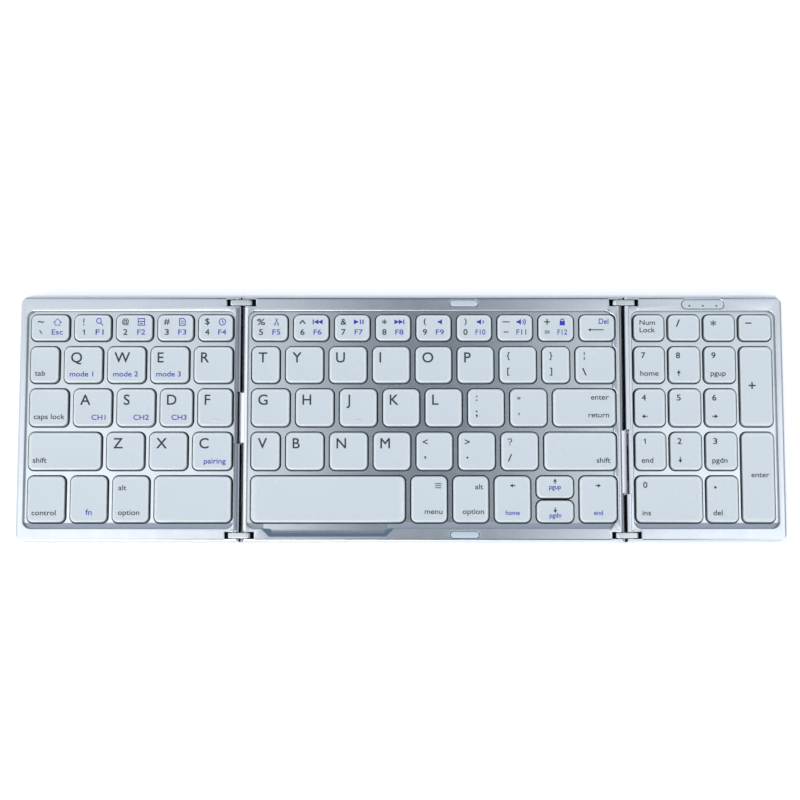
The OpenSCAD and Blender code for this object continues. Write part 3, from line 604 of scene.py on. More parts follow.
def homingShape(box):
    # a small half-round bar: half ellipses of falling width along its length
    h = homingBar
    x = middleOf(box)[0]
    y = box[0][1] + h["inset"]
    u = np.linspace(-1, 1, h["count"])[:, None]
    v = np.linspace(0, 2 * math.pi, h["count"])[None, :-1]
    size = np.sqrt(np.clip(1 - u ** 6, 0.02, 1))
    base = dishHeight(box, x, y) - h["sunk"]
    grid = np.stack(np.broadcast_arrays(x + u * h["long"] / 2, y + size * h["wide"] / 2 * np.sin(v),
                                        base + size * h["tall"] * np.cos(v)), axis=-1)
    return closedGrid(grid)


keyNodes = [n for n in frame["nodes"] if n.startswith("key")]
keyBoxes = {n: solidBoxes(n) for n in keyNodes}
for node in keyNodes:
    shapes, edges, paintedShades = [], [], []
    for i, box in enumerate(keyBoxes[node]):
        points, faces, edge, painted = capShape(box, keycap["seenSide"][panelOf[node]])
        shapes.append((points, faces))
        edges.append(edge)
        paintedShades.append(painted)
        if f"{node}:{i}" in homingBar["keys"]:
            shapes.append(homingShape(box))
            edges.append(np.zeros(len(shapes[-1][0])))
            paintedShades.append(edges[-1])
    obj = pieceOf(shapes, node + "_caps", "cap", bodyOf[node], "keycap", node, smoothAngle=40)
    setMask(obj, "edge", np.concatenate(edges))
    setMask(obj, "paintedLight", np.concatenate(paintedShades))
print("stage: keycaps made,", sum(len(b) for b in keyBoxes.values()))


# Printed legends

legend = dict(lift=0.01, step=0.002, letter=4.0, letterFat=0.055, word=2.0, wordFat=0.035, wordStretch=1.12,
              sign=(2.0, 2.5), digit=(1.7, 2.4), one=(0.95, 2.4), signFat=0.05, functionWord=(3.5, 2.15),
              functionFat=0.025, signLine=0.4, pictureLine=0.24)
signSize = {"%": (3.2, 2.6), "^": (2.6, 1.5), "!": (0.5, 2.9), "_": (2.9, 0.42), "-": (2.0, 0.42),
            "=": (2.0, 1.15), "~": (2.4, 0.8), "@": (2.8, 2.8), "#": (2.3, 2.5), "$": (1.8, 2.9),
            "*": (2.0, 2.0), "(": (1.0, 2.9), ")": (1.0, 2.9), "/": (1.7, 3.0), "{": (1.2, 3.3),
            "[": (1.0, 3.2), "]": (1.0, 3.2), "\\": (1.8, 3.0), ":": (0.6, 2.2), ";": (0.8, 2.8),
            "\"": (1.2, 1.1), "'": (0.45, 1.1), "<": (2.0, 2.0), ">": (2.0, 2.0), ",": (0.7, 1.3),
            ".": (0.8, 0.8), "+": (2.3, 2.3), "&": (2.2, 2.5), "}": (1.2, 3.3), "?": (1.8, 2.8)}
textCache = {}


def textShape(text):
    # a line of text in the font's own units
    if text not in textCache:
        curve = bpy.data.curves.new("legendText", "FONT")
        curve.body = text
        curve.resolution_u = 4
        curve.fill_mode = "FRONT"
        obj = bpy.data.objects.new("legendText", curve)
        scene.collection.objects.link(obj)
        bpy.context.view_layer.update()
        mesh = bpy.data.meshes.new_from_object(obj.evaluated_get(bpy.context.evaluated_depsgraph_get()))
        faces = [list(p.vertices) for p in mesh.polygons]
        if faces and mesh.polygons[0].normal.z < 0:
            faces = [f[::-1] for f in faces]
        textCache[text] = (meshPoints(mesh)[:, :2], faces)
        bpy.data.objects.remove(obj)
        bpy.data.curves.remove(curve)
        bpy.data.meshes.remove(mesh)
    return textCache[text]


def bold(shape, fat):
    # four copies of a shape, each moved by fat across and up or down, which widens every stroke
    co, faces = shape
    n = len(co)
    steps = np.array([(-1, -1), (1, -1), (1, 1), (-1, 1)]) * fat
    widened = [[i + k * n for i in f] for k in range(len(steps)) for f in faces]
    return np.vstack([co + step for step in steps]), widened


capitalTall = float(np.ptp(textShape("H")[0][:, 1]))


def text(words, size, x, y, align="left", stretch=1.0, fat=0.0):
    # words set at a capital height of size and widened by stretch, at (x, y) = left, middle or right
    # end of the baseline
    co, faces = textShape(words)
    co, faces = bold((co * (size / capitalTall) * np.array([stretch, 1]), faces), fat)
    low, high = co[:, 0].min(), co[:, 0].max()
    shift = {"left": -low, "centre": -(low + high) / 2, "right": -high}[align]
    return co + np.array([x + shift, y]), faces


def fitted(shapes, size, x, y, fat=0.0):
    # shapes stretched together to fill a box of that width and height about (x, y)
    points = np.vstack([p for p, f in shapes])
    low, high = points.min(axis=0), points.max(axis=0)
    scale = (np.array(size) - 2 * fat) / np.maximum(high - low, 1e-6)
    out = [((p - (low + high) / 2) * scale + np.array([x, y]), f) for p, f in shapes]
    return [bold(shape, fat) for shape in out] if fat else out


def strip(points, width, closed=False):
    # a line of even width along points: each point moves out by half the width on both sides,
    # square to the line, and further at a corner by one over the cosine of half its turn
    p = np.asarray(points, float)
    n = len(p)
    ahead = np.roll(p, -1, axis=0) - p
    back = p - np.roll(p, 1, axis=0)
    if not closed:
        ahead[-1], back[0] = back[-1], ahead[0]
    ahead, back = unit(ahead), unit(back)
    side = unit(np.stack([-(ahead + back)[:, 1], (ahead + back)[:, 0]], axis=1))
    square = np.stack([-ahead[:, 1], ahead[:, 0]], axis=1)
    reach = width / 2 / np.clip((side * square).sum(axis=1), 0.35, 1)[:, None]
    i = np.arange(n if closed else n - 1)
    j = (i + 1) % n
    return np.vstack([p - side * reach, p + side * reach]), np.stack([i, j, n + j, n + i], axis=-1).tolist()


def arc(x, y, r, start, stop, count=12):
    # points on a circle about (x, y), from one angle in degrees to another
    t = np.radians(np.linspace(start, stop, count))
    return np.stack([x + r * np.cos(t), y + r * np.sin(t)], axis=1)


def poly(*points):
    # one flat face through the points
    return np.array(points, float), [list(range(len(points)))]


def line(*points, wide=1.0, closed=False):
    # a strip at a share of the pictures' own line width
    return strip(points, legend["pictureLine"] * wide, closed)


def ring(x, y, r, stop, count, wide=1.0):
    # a circle's outline; it is closed, so its last point lies a step short of its first
    return line(*arc(x, y, r, 0, stop, count), wide=wide, closed=True)


def bar(x0, x1):
    # an upright bar between two places across
    return poly((x0, 0.7), (x0, -0.7), (x1, -0.7), (x1, 0.7))


def speaker(waves):
    # a loudspeaker with that many sound waves
    body = poly((-1.15, 0.3), (-1.15, -0.3), (-0.75, -0.3), (-0.1, -0.85), (-0.1, 0.85), (-0.75, 0.3))
    return [body] + [line(*arc(-0.1, 0, 0.58 + 0.48 * k, -50, 50, 9)) for k in range(waves)]


# small generic pictures, each with the width and height that it has on its key
pictures = {
    "home": ([line((-1.3, -0.1), (0, 1.0), (1.3, -0.1), (0.85, -0.1), (0.85, -0.95), (-0.85, -0.95),
                   (-0.85, -0.1), wide=0.85, closed=True)], (3.7, 2.9)),
    "find": ([ring(-0.2, 0.25, 0.68, 345, 22), line((0.3, -0.28), (1.0, -1.05), wide=1.2)], (2.9, 3.2)),
    "tray": ([line((-0.9, 0.85), (0.9, 0.85), (0.9, -0.85), (-0.9, -0.85), closed=True),
              line((-0.9, 0.1), (0.9, 0.1)), line((-0.4, -0.4), (0.4, -0.4))], (2.9, 3.0)),
    "page": ([line((-0.7, 0.95), (0.35, 0.95), (0.8, 0.45), (0.8, -0.95), (-0.7, -0.95), closed=True),
              line((-0.3, 0.2), (0.4, 0.2)), line((-0.3, -0.35), (0.4, -0.35))], (2.6, 3.1)),
    "clock": ([ring(0, 0, 0.92, 345, 24), line((0, 0.55), (0, 0), (0.42, -0.3))], (2.9, 2.9)),
    "cut": ([line((-0.45, 1.0), (0.5, -0.55)), line((0.45, 1.0), (-0.5, -0.55)),
             ring(-0.6, -0.8, 0.3, 330, 12, 0.8), ring(0.6, -0.8, 0.3, 330, 12, 0.8)], (2.2, 3.0)),
    "back": ([poly((-0.1, 0), (0.95, 0.7), (0.95, -0.7)), poly((-1.0, 0), (0.02, 0.7), (0.02, -0.7)),
              bar(-1.25, -1.0)], (4.0, 2.0)),
    "play": ([poly((-1.1, 0.75), (-1.1, -0.75), (0.05, 0)), bar(0.25, 0.52), bar(0.82, 1.09)], (3.9, 2.0)),
    "next": ([poly((-0.95, 0.7), (-0.95, -0.7), (0.1, 0)), poly((-0.02, 0.7), (-0.02, -0.7), (1.0, 0)),
              bar(1.0, 1.25)], (4.0, 2.0)),
    "mute": (speaker(0), (1.7, 2.2)),
    "quiet": (speaker(1), (2.9, 2.3)),
    "loud": (speaker(2), (3.7, 2.5)),
    "lock": ([poly((-0.72, 0.12), (-0.72, -0.95), (0.72, -0.95), (0.72, 0.12)),
              line(*arc(0, 0.15, 0.46, 0, 180, 12), wide=1.1)], (2.1, 2.8)),
    "menu": ([line((-0.9, y), (0.9, y)) for y in (0.6, 0, -0.6)], (2.5, 2.0)),
}


def picture(name, x, y):
    return fitted(*pictures[name], x, y)


def arrow(x, y, dx, dy, long=2.4, head=1.0, width=0.38):
    # a small arrow that points along (dx, dy): shaft and a three-cornered head
    d, s = np.array([dx, dy], float), np.array([-dy, dx], float)
    tip = np.array([x, y]) + d * long / 2
    neck = tip - d * head * 1.3
    return [strip([tip - d * long, neck], width), poly(tip, neck + s * head * 0.8, neck - s * head * 0.8)]


def digit(c, x, y):
    # a digit about (x, y); a 1 is a stem with a flag, narrower than the others
    if c == "1":
        stem = strip([(-0.62, 1.75), (0.0, 2.4), (0.0, 0.0)], legend["signLine"])
        return fitted([stem], legend["one"], x, y)
    return fitted([textShape(c)], legend["digit"], x, y, legend["signFat"])


def sign(c, x, y, size=None):
    # a sign about (x, y), as wide and tall as the table says; three of them are drawn from strips
    wide = legend["signLine"]
    if c == "`":
        return [strip([(x - 0.5, y + 0.7), (x + 0.5, y - 0.7)], wide)]
    if c == "|":
        return [strip([(x, y + a), (x, y + b)], wide) for a, b in ((1.6, 0.35), (-0.35, -1.6))]
    if c == "?":
        hook = np.vstack([arc(0, 0.72, 0.7, 165, -55), [(0.0, -0.15), (0.0, -0.6)]])
        return fitted([strip(hook, wide), strip([(0, -1.05), (0, -1.45)], wide + 0.05)], signSize[c], x, y)
    return fitted([textShape(c)], size or signSize.get(c, legend["sign"]), x, y, legend["signFat"])


# Each kind of key gives its dark shapes and its blue shapes. A place on a key is a share of the way
# across its box and a shift, then a share of the way up and a shift.

def spot(box, across, dx, up, dy):
    low, high = box
    return low[0] + (high[0] - low[0]) * across + dx, low[1] + (high[1] - low[1]) * up + dy


def wordsAt(box, *rows):
    # words in rows of: the word, its place, and then its end at the place, size and stretch
    out = []
    for title, across, dx, up, dy, *style in rows:
        align, size, stretch = style + ["left", legend["word"], legend["wordStretch"]][len(style):]
        out.append(text(title, size, *spot(box, across, dx, up, dy), align, stretch, legend["wordFat"]))
    return out


def wordKey(box, *rows):
    return wordsAt(box, *rows), []


def blueWordKey(box, *rows):
    return [], wordsAt(box, *rows)


def numberKey(box, upper, lower, icon, blue):
    # the number row: a sign over the digit on the left, a picture over a blue word on the right
    dark = sign(upper, *spot(box, 0.25, 0, 1, -3.0))
    dark += (digit if lower.isdigit() else sign)(lower, *spot(box, 0.25, 0, 1, -7.1))
    wide, tall = legend["functionWord"]
    wide *= {2: 0.92, 3: 1.12}[len(blue)] * (1.15 if blue.isalpha() else 1)
    below = fitted([textShape(blue)], (wide, tall), *spot(box, 0.68, 0, 1, -7.1), legend["functionFat"])
    return dark, picture(icon, *spot(box, 0.68, 0, 1, -3.0)) + below


def letterKey(box, letter, blue=None, align="left"):
    size = legend["letter"]
    dark = text(letter, size, *spot(box, 0, 2.7, 1, -2.45 - size), fat=legend["letterFat"])
    place = {"left": (0, 2.3, 0, 2.6), "right": (1, -2.5, 0, 2.6)}[align]
    return [dark], wordsAt(box, (blue, *place, align)) if blue else []


def signKey(box, upper, lower):
    return sign(upper, *spot(box, 0, 3.5, 1, -3.9)) + sign(lower, *spot(box, 0, 3.5, 1, -10.2)), []


def padSignKey(box, c, size, place=(0, 4.1, 1, -3.5)):
    return sign(c, *spot(box, *place), size), []


def deleteKey(box):
    return (arrow(*spot(box, 0, 6.6, 1, -6.2), -1, 0, 6.3, 0.85),
            wordsAt(box, ("Del", 0, 9.7, 1, -3.8, "centre", 2.1, 0.95)))


def menuKey(box):
    below = wordsAt(box, ("menu", 1, -1.9, 0, 3.4, "right"))
    return picture("menu", *spot(box, 1, -3.6, 1, -3.9)) + below, []


def arrowKey(box, way, title, down, up):
    return (arrow(*spot(box, 0.5, 0, 1, -down), *way, 2.2, 0.95),
            wordsAt(box, (title, 0.5, 0, 0, up, "centre", 1.8, 0.95)))


def padKey(box, c, below=None, way=None):
    # a key of the number pad: its digit and, below it, a word or an arrow
    if c.isdigit():
        dark = digit(c, *spot(box, 0, 3.9, 1, -3.6))
    else:
        dark = sign(c, *spot(box, 0, 3.6, 1, -4.6), (1.0, 1.0))
    if below:
        dark += wordsAt(box, (below, 0, 2.6, 0, 2.9))
    if way:
        dark += arrow(*spot(box, 0, 4.1, 0, 4.0), *way)
    return dark, []


def each(make, *columns):
    # one kind of key along a row, with each key's own values taken from the columns
    return [(make, *values) for values in zip(*columns)]


# what stands on each key, node by node and in the order of the node's boxes
prints = {
    "keys_number_left": each(numberKey, "~!@#$", "`1234", ("home", "find", "tray", "page", "clock"),
                             ("Esc", "F1", "F2", "F3", "F4")),
    "keys_upper_left": each(letterKey, "QWER", ("mode 1", "mode 2", "mode 3", None)),
    "keys_home_left": each(letterKey, "ASDF", ("CH1", "CH2", "CH3", None), ["right"] * 4),
    "keys_lower_left": each(letterKey, "ZXC", (None, None, "pairing"), ["right"] * 3),
    "key_tab": [(wordKey, ("tab", 0, 1.9, 0, 2.9))],
    "key_caps_lock": [(wordKey, ("caps lock", 0, 1.9, 0, 2.9))],
    "key_shift_left": [(wordKey, ("shift", 0, 1.9, 0, 2.9))],
    "keys_modifier_left": [(wordKey, ("control", 0, 1.9, 0, 2.9)),
                           (blueWordKey, ("fn", 0.5, 0, 0, 3.0, "centre", 2.2)),
                           (wordKey, ("alt", 0, 2.3, 1, -5.7), ("option", 0, 2.3, 0, 3.0))],
    "keys_number_center": each(numberKey, "%^&*()_+", "567890-=",
                               ("cut", "back", "play", "next", "mute", "quiet", "loud", "lock"),
                               ("F5", "F6", "F7", "F8", "F9", "F10", "F11", "F12")) + [(deleteKey,)],
    "keys_upper_center": each(letterKey, "TYUIOP") + each(signKey, "{}|", "[]\\"),
    "keys_home_center": each(letterKey, "GHJKL") + each(signKey, ":\"", ";'"),
    "keys_lower_center": each(letterKey, "VBNM") + each(signKey, "<>?", ",./"),
    "key_enter": [(wordKey, ("enter", 1, -2.7, 1, -4.4, "right"), ("return", 1, -2.7, 0, 3.6, "right"))],
    "key_shift_right": [(wordKey, ("shift", 1, -2.4, 0, 2.9, "right"))],
    "keys_modifier_right": [(menuKey,), (wordKey, ("alt", 1, -2.2, 1, -5.3, "right"),
                                         ("option", 1, -1.9, 0, 3.4, "right"))],
    "keys_arrow": each(arrowKey, ((-1, 0), (0, 1), (0, -1), (1, 0)), ("home", "pgup", "pgdn", "end"),
                       (3.9, 2.2, 4.0, 3.9), (3.0, 3.6, 2.0, 3.0)),
    "keys_pad_top": [(wordKey, ("Num", 0, 2.6, 1, -4.2, "left", 1.95),
                      ("Lock", 0, 2.6, 1, -7.2, "left", 1.95)),
                     *each(padSignKey, "/*-", ((1.7, 3.0), (2.3, 2.3), (2.5, 0.5)))],
    "keys_pad_digits": each(padKey, "789456123",
                            ("home", None, "pgup", None, None, None, "end", None, "pgdn"),
                            (None, (0, 1), None, (-1, 0), None, (1, 0), None, (0, -1), None)),
    "key_pad_plus": [(padSignKey, "+", (2.8, 2.8), (0, 4.9, 0.5, 0.3))],
    "key_pad_enter": [(wordKey, ("enter", 0.5, 0.8, 0.5, 0, "centre"))],
    "keys_pad_bottom": each(padKey, "0.", ("ins", "del")),
}

inkCount = 0
for node, row in prints.items():
    boxes = keyBoxes[node]
    if node == "keys_arrow":
        boxes = sorted(boxes, key=lambda b: (b[0][0], -b[1][1]))
    printed = [make(box, *values) for box, (make, *values) in zip(boxes, row)]
    for which, ink in enumerate(("ink", "blueInk")):
        shapes = []
        for box, parts in zip(boxes, printed):
            for co, faces in parts[which]:
                # the copies of a bold shape lie a hair above one another
                copies = (np.arange(len(co)) * 4 // len(co)) * legend["step"]
                z = dishHeight(box, co[:, 0], co[:, 1]) + legend["lift"] + copies
                shapes.append((np.column_stack([co, z]), faces))
        if shapes:
            pieceOf(shapes, f"{node}_{ink}", ink, bodyOf[node], "keycap")
            inkCount += 1
print("stage: legends made,", inkCount)


# Rims, key webs, covers and links: merged copies with rounded edges

# each outline that gets a quarter round: (axis, level, way it faces, width)
soften = {
    "frame": dict(finish="rim", slot="rim", outlines=[(2, 8.0, 1, 0.38)]),
    "deck": dict(finish="web", slot="key_web", smooth=8, outlines=[(2, 5.8, 1, 0.08)]),
    "bottom_cover": dict(finish="cover", slot="cover", outlines=[(2, 0.5, -1, 0.15)]),
    "links": dict(finish="link", slot="link", outlines=[(1, y, way, 0.16) for y, way in (
        (47.55, 1), (45.45, -1), (-45.45, 1), (-47.55, -1))]),
}
rounding = dict(steps=3, sharp=35, shortEnd=0.35, longEdge=0.8, near=0.002, level=0.9999, leastMitre=0.45)
# where the rims get painted shade (slits, link pockets, well walls) and a painted highlight (cable bosses)
paintedLightPlaces = dict(slits=(-63.35, 88.45), slitHalf=0.5, linkY=46.5, pocketHalf=7.3, pocketWide=1.4,
                  belowZ=7.9, upright=0.05, wallZ=5.6, wallInside=1.2, wallShare=0.45, wallLean=0.3,
                  bosses=((-62.425, 0.25, 10.2), (87.525, -17.35, 12.7)), bossZ=5.5, bossR=2.1,
                  bossNear=0.08)


def outlineEdges(bm, axis, level, way):
    # the edges round the flat face at that level, and whether each is a sharp outside corner
    flat = [f for f in bm.faces if f.normal[axis] * way > rounding["level"]
            and all(abs(v.co[axis] / mm - level) < rounding["near"] for v in f.verts)]
    isFlat = set(flat)
    found = {}
    for f in flat:
        for e in f.edges:
            if len(e.link_faces) == 2 and not all(g in isFlat for g in e.link_faces):
                found[e] = e.calc_face_angle_signed(0) > math.radians(rounding["sharp"])
    return found


def shortenEnds(bm, axis, level, way):
    # where a sharp edge meets a soft one, the round runs out over a short piece cut off its end
    found = outlineEdges(bm, axis, level, way)
    softEnds = {v for e, isSharp in found.items() if not isSharp for v in e.verts}
    for e, isSharp in found.items():
        if not isSharp:
            continue
        for end in [v for v in e.verts if v in softEnds]:
            long = e.calc_length() / mm
            if long < rounding["longEdge"]:
                continue
            ends = set(e.verts)
            newVert = bmesh.utils.edge_split(e, end, rounding["shortEnd"] / long)[1]
            for f in list(newVert.link_faces):
                apex = [v for v in f.verts if v not in ends and v is not newVert]
                if len(apex) == 1:
                    bmesh.utils.face_split(f, newVert, apex[0])
            e = next(x for x in newVert.link_edges if x.other_vert(newVert) in ends and
                     x.other_vert(newVert) is not end)


def normalsOf(corners):
    # each triangle's normal: its first side crossed with the side across from it
    return unit(np.cross(corners[:, 1] - corners[:, 0], corners[:, 2] - corners[:, 0]))


def roundOutline(points, tris, edge, axis, level, way, width):
    # a quarter round along the sharp outline of a flat face. Each outline point moves in along its
    # mitre by w(1 - cos a) and sinks by w(1 - sin a), for angles a from 0 on the wall to 90 degrees
    order = np.roll(np.arange(3), 2 - axis)
    turn = np.array([1, way, way])
    p = points[:, order] * turn
    n = len(p)
    corner = p[tris]
    normal = normalsOf(corner)
    atLevel = np.abs(corner[:, :, 2] - level * way).max(axis=1) < rounding["near"]
    flat = (normal[:, 2] > rounding["level"]) & atLevel
    # each side of a triangle finds the triangle that holds the same side the other way round
    start, stop = tris.ravel(), np.roll(tris, -1, axis=1).ravel()
    owner = np.repeat(np.arange(len(tris)), 3)
    key = start * n + stop
    sortOrder = np.argsort(key)
    place = sortOrder[np.searchsorted(key[sortOrder], stop * n + start).clip(0, len(key) - 1)]
    other = owner[place]
    rim = flat[owner] & (key[place] == stop * n + start) & ~flat[other]
    falls = corner[other, :, 2].mean(axis=1) < level * way - 1e-4
    sharp = rim & falls & (normal[other, 2] < math.cos(math.radians(rounding["sharp"])))
    along = (p[stop] - p[start])[:, :2]
    inward = unit(np.column_stack([-along[:, 1], along[:, 0]]))
    leaving, coming = np.zeros((n, 2)), np.zeros((n, 2))
    leaving[start[sharp]], coming[stop[sharp]] = inward[sharp], inward[sharp]
    leaves, comes, passes = (np.bincount(v, minlength=n) for v in (start[sharp], stop[sharp], start[rim]))
    mitre = unit(leaving + coming)
    reach = width / np.clip((mitre * leaving).sum(axis=1), rounding["leastMitre"], 1)
    moved = np.flatnonzero((leaves == 1) & (comes == 1) & (passes == 1))
    steps = rounding["steps"]
    ring = np.tile(np.arange(n), (steps + 1, 1))
    added = []
    for k in range(1, steps + 1):
        a = math.pi / 2 * k / steps
        ring[k, moved] = n + (k - 1) * len(moved) + np.arange(len(moved))
        q = p[moved].copy()
        q[:, :2] += mitre[moved] * (reach[moved] * (1 - math.cos(a)))[:, None]
        q[:, 2] -= width * (1 - math.sin(a))
        added.append(q)
    p[moved, 2] -= width
    strips = []
    for k in range(steps):
        a0, b0 = ring[k, start[sharp]], ring[k, stop[sharp]]
        a1, b1 = ring[k + 1, start[sharp]], ring[k + 1, stop[sharp]]
        strips += [np.column_stack([a0, b0, b1]), np.column_stack([a0, b1, a1])]
    strips = np.vstack(strips)
    real = (strips != np.roll(strips, 1, axis=1)).all(axis=1)
    newTris = tris.copy()
    newTris[flat] = ring[steps][tris[flat]]
    p = np.vstack([p] + added) * turn
    back = np.empty_like(p)
    back[:, order] = p
    worn = np.repeat([1.0] * (steps - 1) + [0.0], len(moved))
    return back, np.vstack([newTris, strips[real]]), np.concatenate([edge, worn])


def slitShadeFaces(corners):
    # 1 on each triangle that lies in a slit between the panels or in a link's pocket, 0 elsewhere: these get
    # painted shade
    d = paintedLightPlaces
    out = np.zeros(len(corners))
    low = corners[..., 2].max(axis=1) < d["belowZ"]
    fromLink = np.abs(np.abs(corners[..., 1]) - d["linkY"]).max(axis=1)
    for slit in d["slits"]:
        fromSlit = np.abs(corners[..., 0] - slit).max(axis=1)
        out[(fromSlit < d["slitHalf"]) & low & (np.ptp(corners[..., 0], axis=1) < d["upright"])] = 1
        out[(fromSlit < d["pocketHalf"]) & (fromLink < d["pocketWide"]) & low] = 1
    return out


def wallFaces(corners):
    # a share on each upright triangle of a well's wall, which gets painted shade and is blasted duller than
    # the rim's top:
    # above the key web's level and set in from the panel's outline by more than a given distance
    d = paintedLightPlaces
    low, high = corners.min(axis=(0, 1)), corners.max(axis=(0, 1))
    middle = corners.mean(axis=1)
    inside = ((middle > low + d["wallInside"]) & (middle < high - d["wallInside"]))[:, :2].all(axis=1)
    upright = np.abs(normalsOf(corners)[:, 2]) < d["wallLean"]
    return d["wallShare"] * (inside & upright & (corners[..., 2].min(axis=1) > d["wallZ"]))


def bossHighlightFaces(corners):
    # 1 on each triangle of the round cable bosses, which get a painted highlight to look brighter than the
    # blasted rims
    d = paintedLightPlaces
    out = np.zeros(len(corners))
    for x, y, half in d["bosses"]:
        fromAxis = np.hypot(corners[..., 0] - x, corners[..., 2] - d["bossZ"])
        inLength = (np.abs(corners[..., 1] - y) < half).all(axis=1)
        out[(np.abs(fromAxis - d["bossR"]) < d["bossNear"]).all(axis=1) & inLength] = 1
    return out


def roundedCopy(node, spec):
    # the CAD mesh with its points merged and its outlines rounded; flat faces are shaded flat
    bm = bmesh.new()
    bm.from_mesh(frame["nodes"][node].data)
    bmesh.ops.remove_doubles(bm, verts=bm.verts, dist=2e-6)
    bmesh.ops.triangulate(bm, faces=bm.faces)
    for outline in spec["outlines"]:
        bm.normal_update()
        shortenEnds(bm, *outline[:3])
    bm.verts.index_update()
    points = np.array([v.co for v in bm.verts], float) / mm
    tris = np.array([[v.index for v in f.verts] for f in bm.faces], int)
    bm.free()
    edge = np.zeros(len(points))
    for outline in spec["outlines"]:
        points, tris, edge = roundOutline(points, tris, edge, *outline)
    obj = newPiece(node + "_soft", points, tris.tolist(), materials[spec["finish"]], spec.get("smooth", 30))
    setMask(obj, "edge", edge)
    if spec["slot"] == "rim":
        # painted shade in the slits, link pockets and on the well walls, and a painted highlight on the
        # cable bosses
        setMask(obj, "paintedLight", np.maximum(slitShadeFaces(points[tris]), wallFaces(points[tris])), "FACE")
        setMask(obj, "paintedHighlight", bossHighlightFaces(points[tris]), "FACE")
    even = obj.modifiers.new("evenNormals", "WEIGHTED_NORMAL")
    even.keep_sharp = True
    attach(obj, bodyOf[node], spec["slot"], node)


for kind, spec in soften.items():
    for side in panels:
        if f"{side}_{kind}" in frame["nodes"]:
            roundedCopy(f"{side}_{kind}", spec)
print("stage: rims, webs, covers and links rounded")


# Small fittings

foot = dict(edge=0.22, hollow=0.05, count=48)


def footShape(box):
    # a rubber disc: flat seat, straight side, quarter-round lower edge and a slightly hollow sole
    low, high = box
    r = (high[0] - low[0]) / 2
    e, hollow = foot["edge"], foot["hollow"]
    profile = [(r * 0.4, low[2] + hollow), (r * 0.7, low[2] + hollow * 0.6), (r - e - 0.25, low[2])]
    for a in np.linspace(0, math.pi / 2, 6):
        profile.append((r - e + e * math.sin(a), low[2] + e - e * math.cos(a)))
    profile += [(r, high[2]), (r - 0.3, high[2])]
    return revolve(profile, *middleOf(box), foot["count"])


screw = dict(headR=1.4, headDrop=0.7, headSunk=0.02, headEdge=0.06, shankR=0.7, pitch=0.35, threadDeep=0.07,
             crossWide=0.26, crossLong=0.95, crossDeep=0.45, crossSlope=(0.1, 0.14), count=72, rings=16)


def screwShape(box):
    # countersunk head with a crossed recess: the recess is a height over angle and radius, deep where
    # the point lies within half the slot's width of either axis. The shank's radius ripples as a thread.
    low, high = box
    s = screw
    x, y = middleOf(box)
    t = np.linspace(0, 2 * math.pi, s["count"], endpoint=False)[None, :]
    r = np.linspace(s["headEdge"], s["headR"] - s["headEdge"], s["rings"])[:, None]
    near = np.minimum(np.abs(r * np.cos(t)), np.abs(r * np.sin(t)))
    across, along = s["crossSlope"]
    slot = np.clip((s["crossWide"] - near) / across, 0, 1) * np.clip((s["crossLong"] - r) / along, 0, 1)
    h = np.arange(low[2] + s["headDrop"], high[2], s["pitch"] / 4)[:, None]
    shank = s["shankR"] - s["threadDeep"] * (1 - np.cos(2 * math.pi * (h / s["pitch"]) - t)) / 2
    rows = ((r, low[2] + s["headSunk"] + s["crossDeep"] * slot), (s["headR"], low[2] + s["headEdge"]),
            (s["headR"] - 0.02, low[2] + 0.1), (s["shankR"], low[2] + s["headDrop"]), (shank, h))
    return closedGrid(np.concatenate([
        np.stack(np.broadcast_arrays(x + radius * np.cos(t), y + radius * np.sin(t), height), axis=-1)
        for radius, height in rows]))


def pillRings(box, insets, count=24):
    # outlines of a bar with round ends: two half circles about the ends of its middle line
    low, high = box
    r = (high[1] - low[1]) / 2
    half = (high[0] - low[0]) / 2 - r
    t = np.linspace(-math.pi / 2, math.pi / 2, count)[None, :]
    radius = np.maximum(r - np.asarray(insets, float), 0.02)[:, None]
    right = np.stack([half + radius * np.cos(t), radius * np.sin(t)], axis=-1)
    return np.concatenate([right, -right], axis=1) + middleOf(box)


def pillShape(box, edge, crown):
    # straight side, quarter-round top edge and a slightly crowned top
    low, high = box
    a = np.linspace(0, math.pi / 2, 6)
    insets = np.concatenate([[0.6, 0.0, 0.0], edge * (1 - np.cos(a)), [edge + 0.25, edge + 0.6, edge + 1.0]])
    top = high[2] - crown
    heights = np.concatenate([[low[2], low[2], low[2] + 0.1], top - edge + edge * np.sin(a),
                              [top + crown * 0.5, top + crown * 0.85, high[2]]])
    rings = pillRings(box, insets)
    z = np.broadcast_to(heights[:, None], rings.shape[:2])[..., None]
    return closedGrid(np.concatenate([rings, z], axis=-1))


def seatShadeMask(points, top, near, far):
    # grows from 0 to 1 as a point drops below the top from near to far: the painted shade line round a seat
    return np.clip((top - points[:, 2] - near) / (far - near), 0, 1)


for kind, shapeOf, finish, ending in (("feet", footShape, "foot", "rubber"),
                                      ("screws", screwShape, "screw", "cut")):
    for side, body in panels.items():
        node = f"{side}_{kind}"
        pieceOf([shapeOf(b) for b in solidBoxes(node)], f"{node}_{ending}", finish, body, finish, node)

pad = dict(edge=0.28, crown=0.06, seat=(0.16, 0.3))
padBoxes = solidBoxes("bumper_pads")
padShapes = [pillShape(b, pad["edge"], pad["crown"]) for b in padBoxes]
pads = pieceOf(padShapes, "bumper_pads_soft", "pad", "center", "pad", "bumper_pads")
setMask(pads, "paintedLight", seatShadeMask(joined(padShapes)[0], padBoxes[0][1][2], *pad["seat"]))

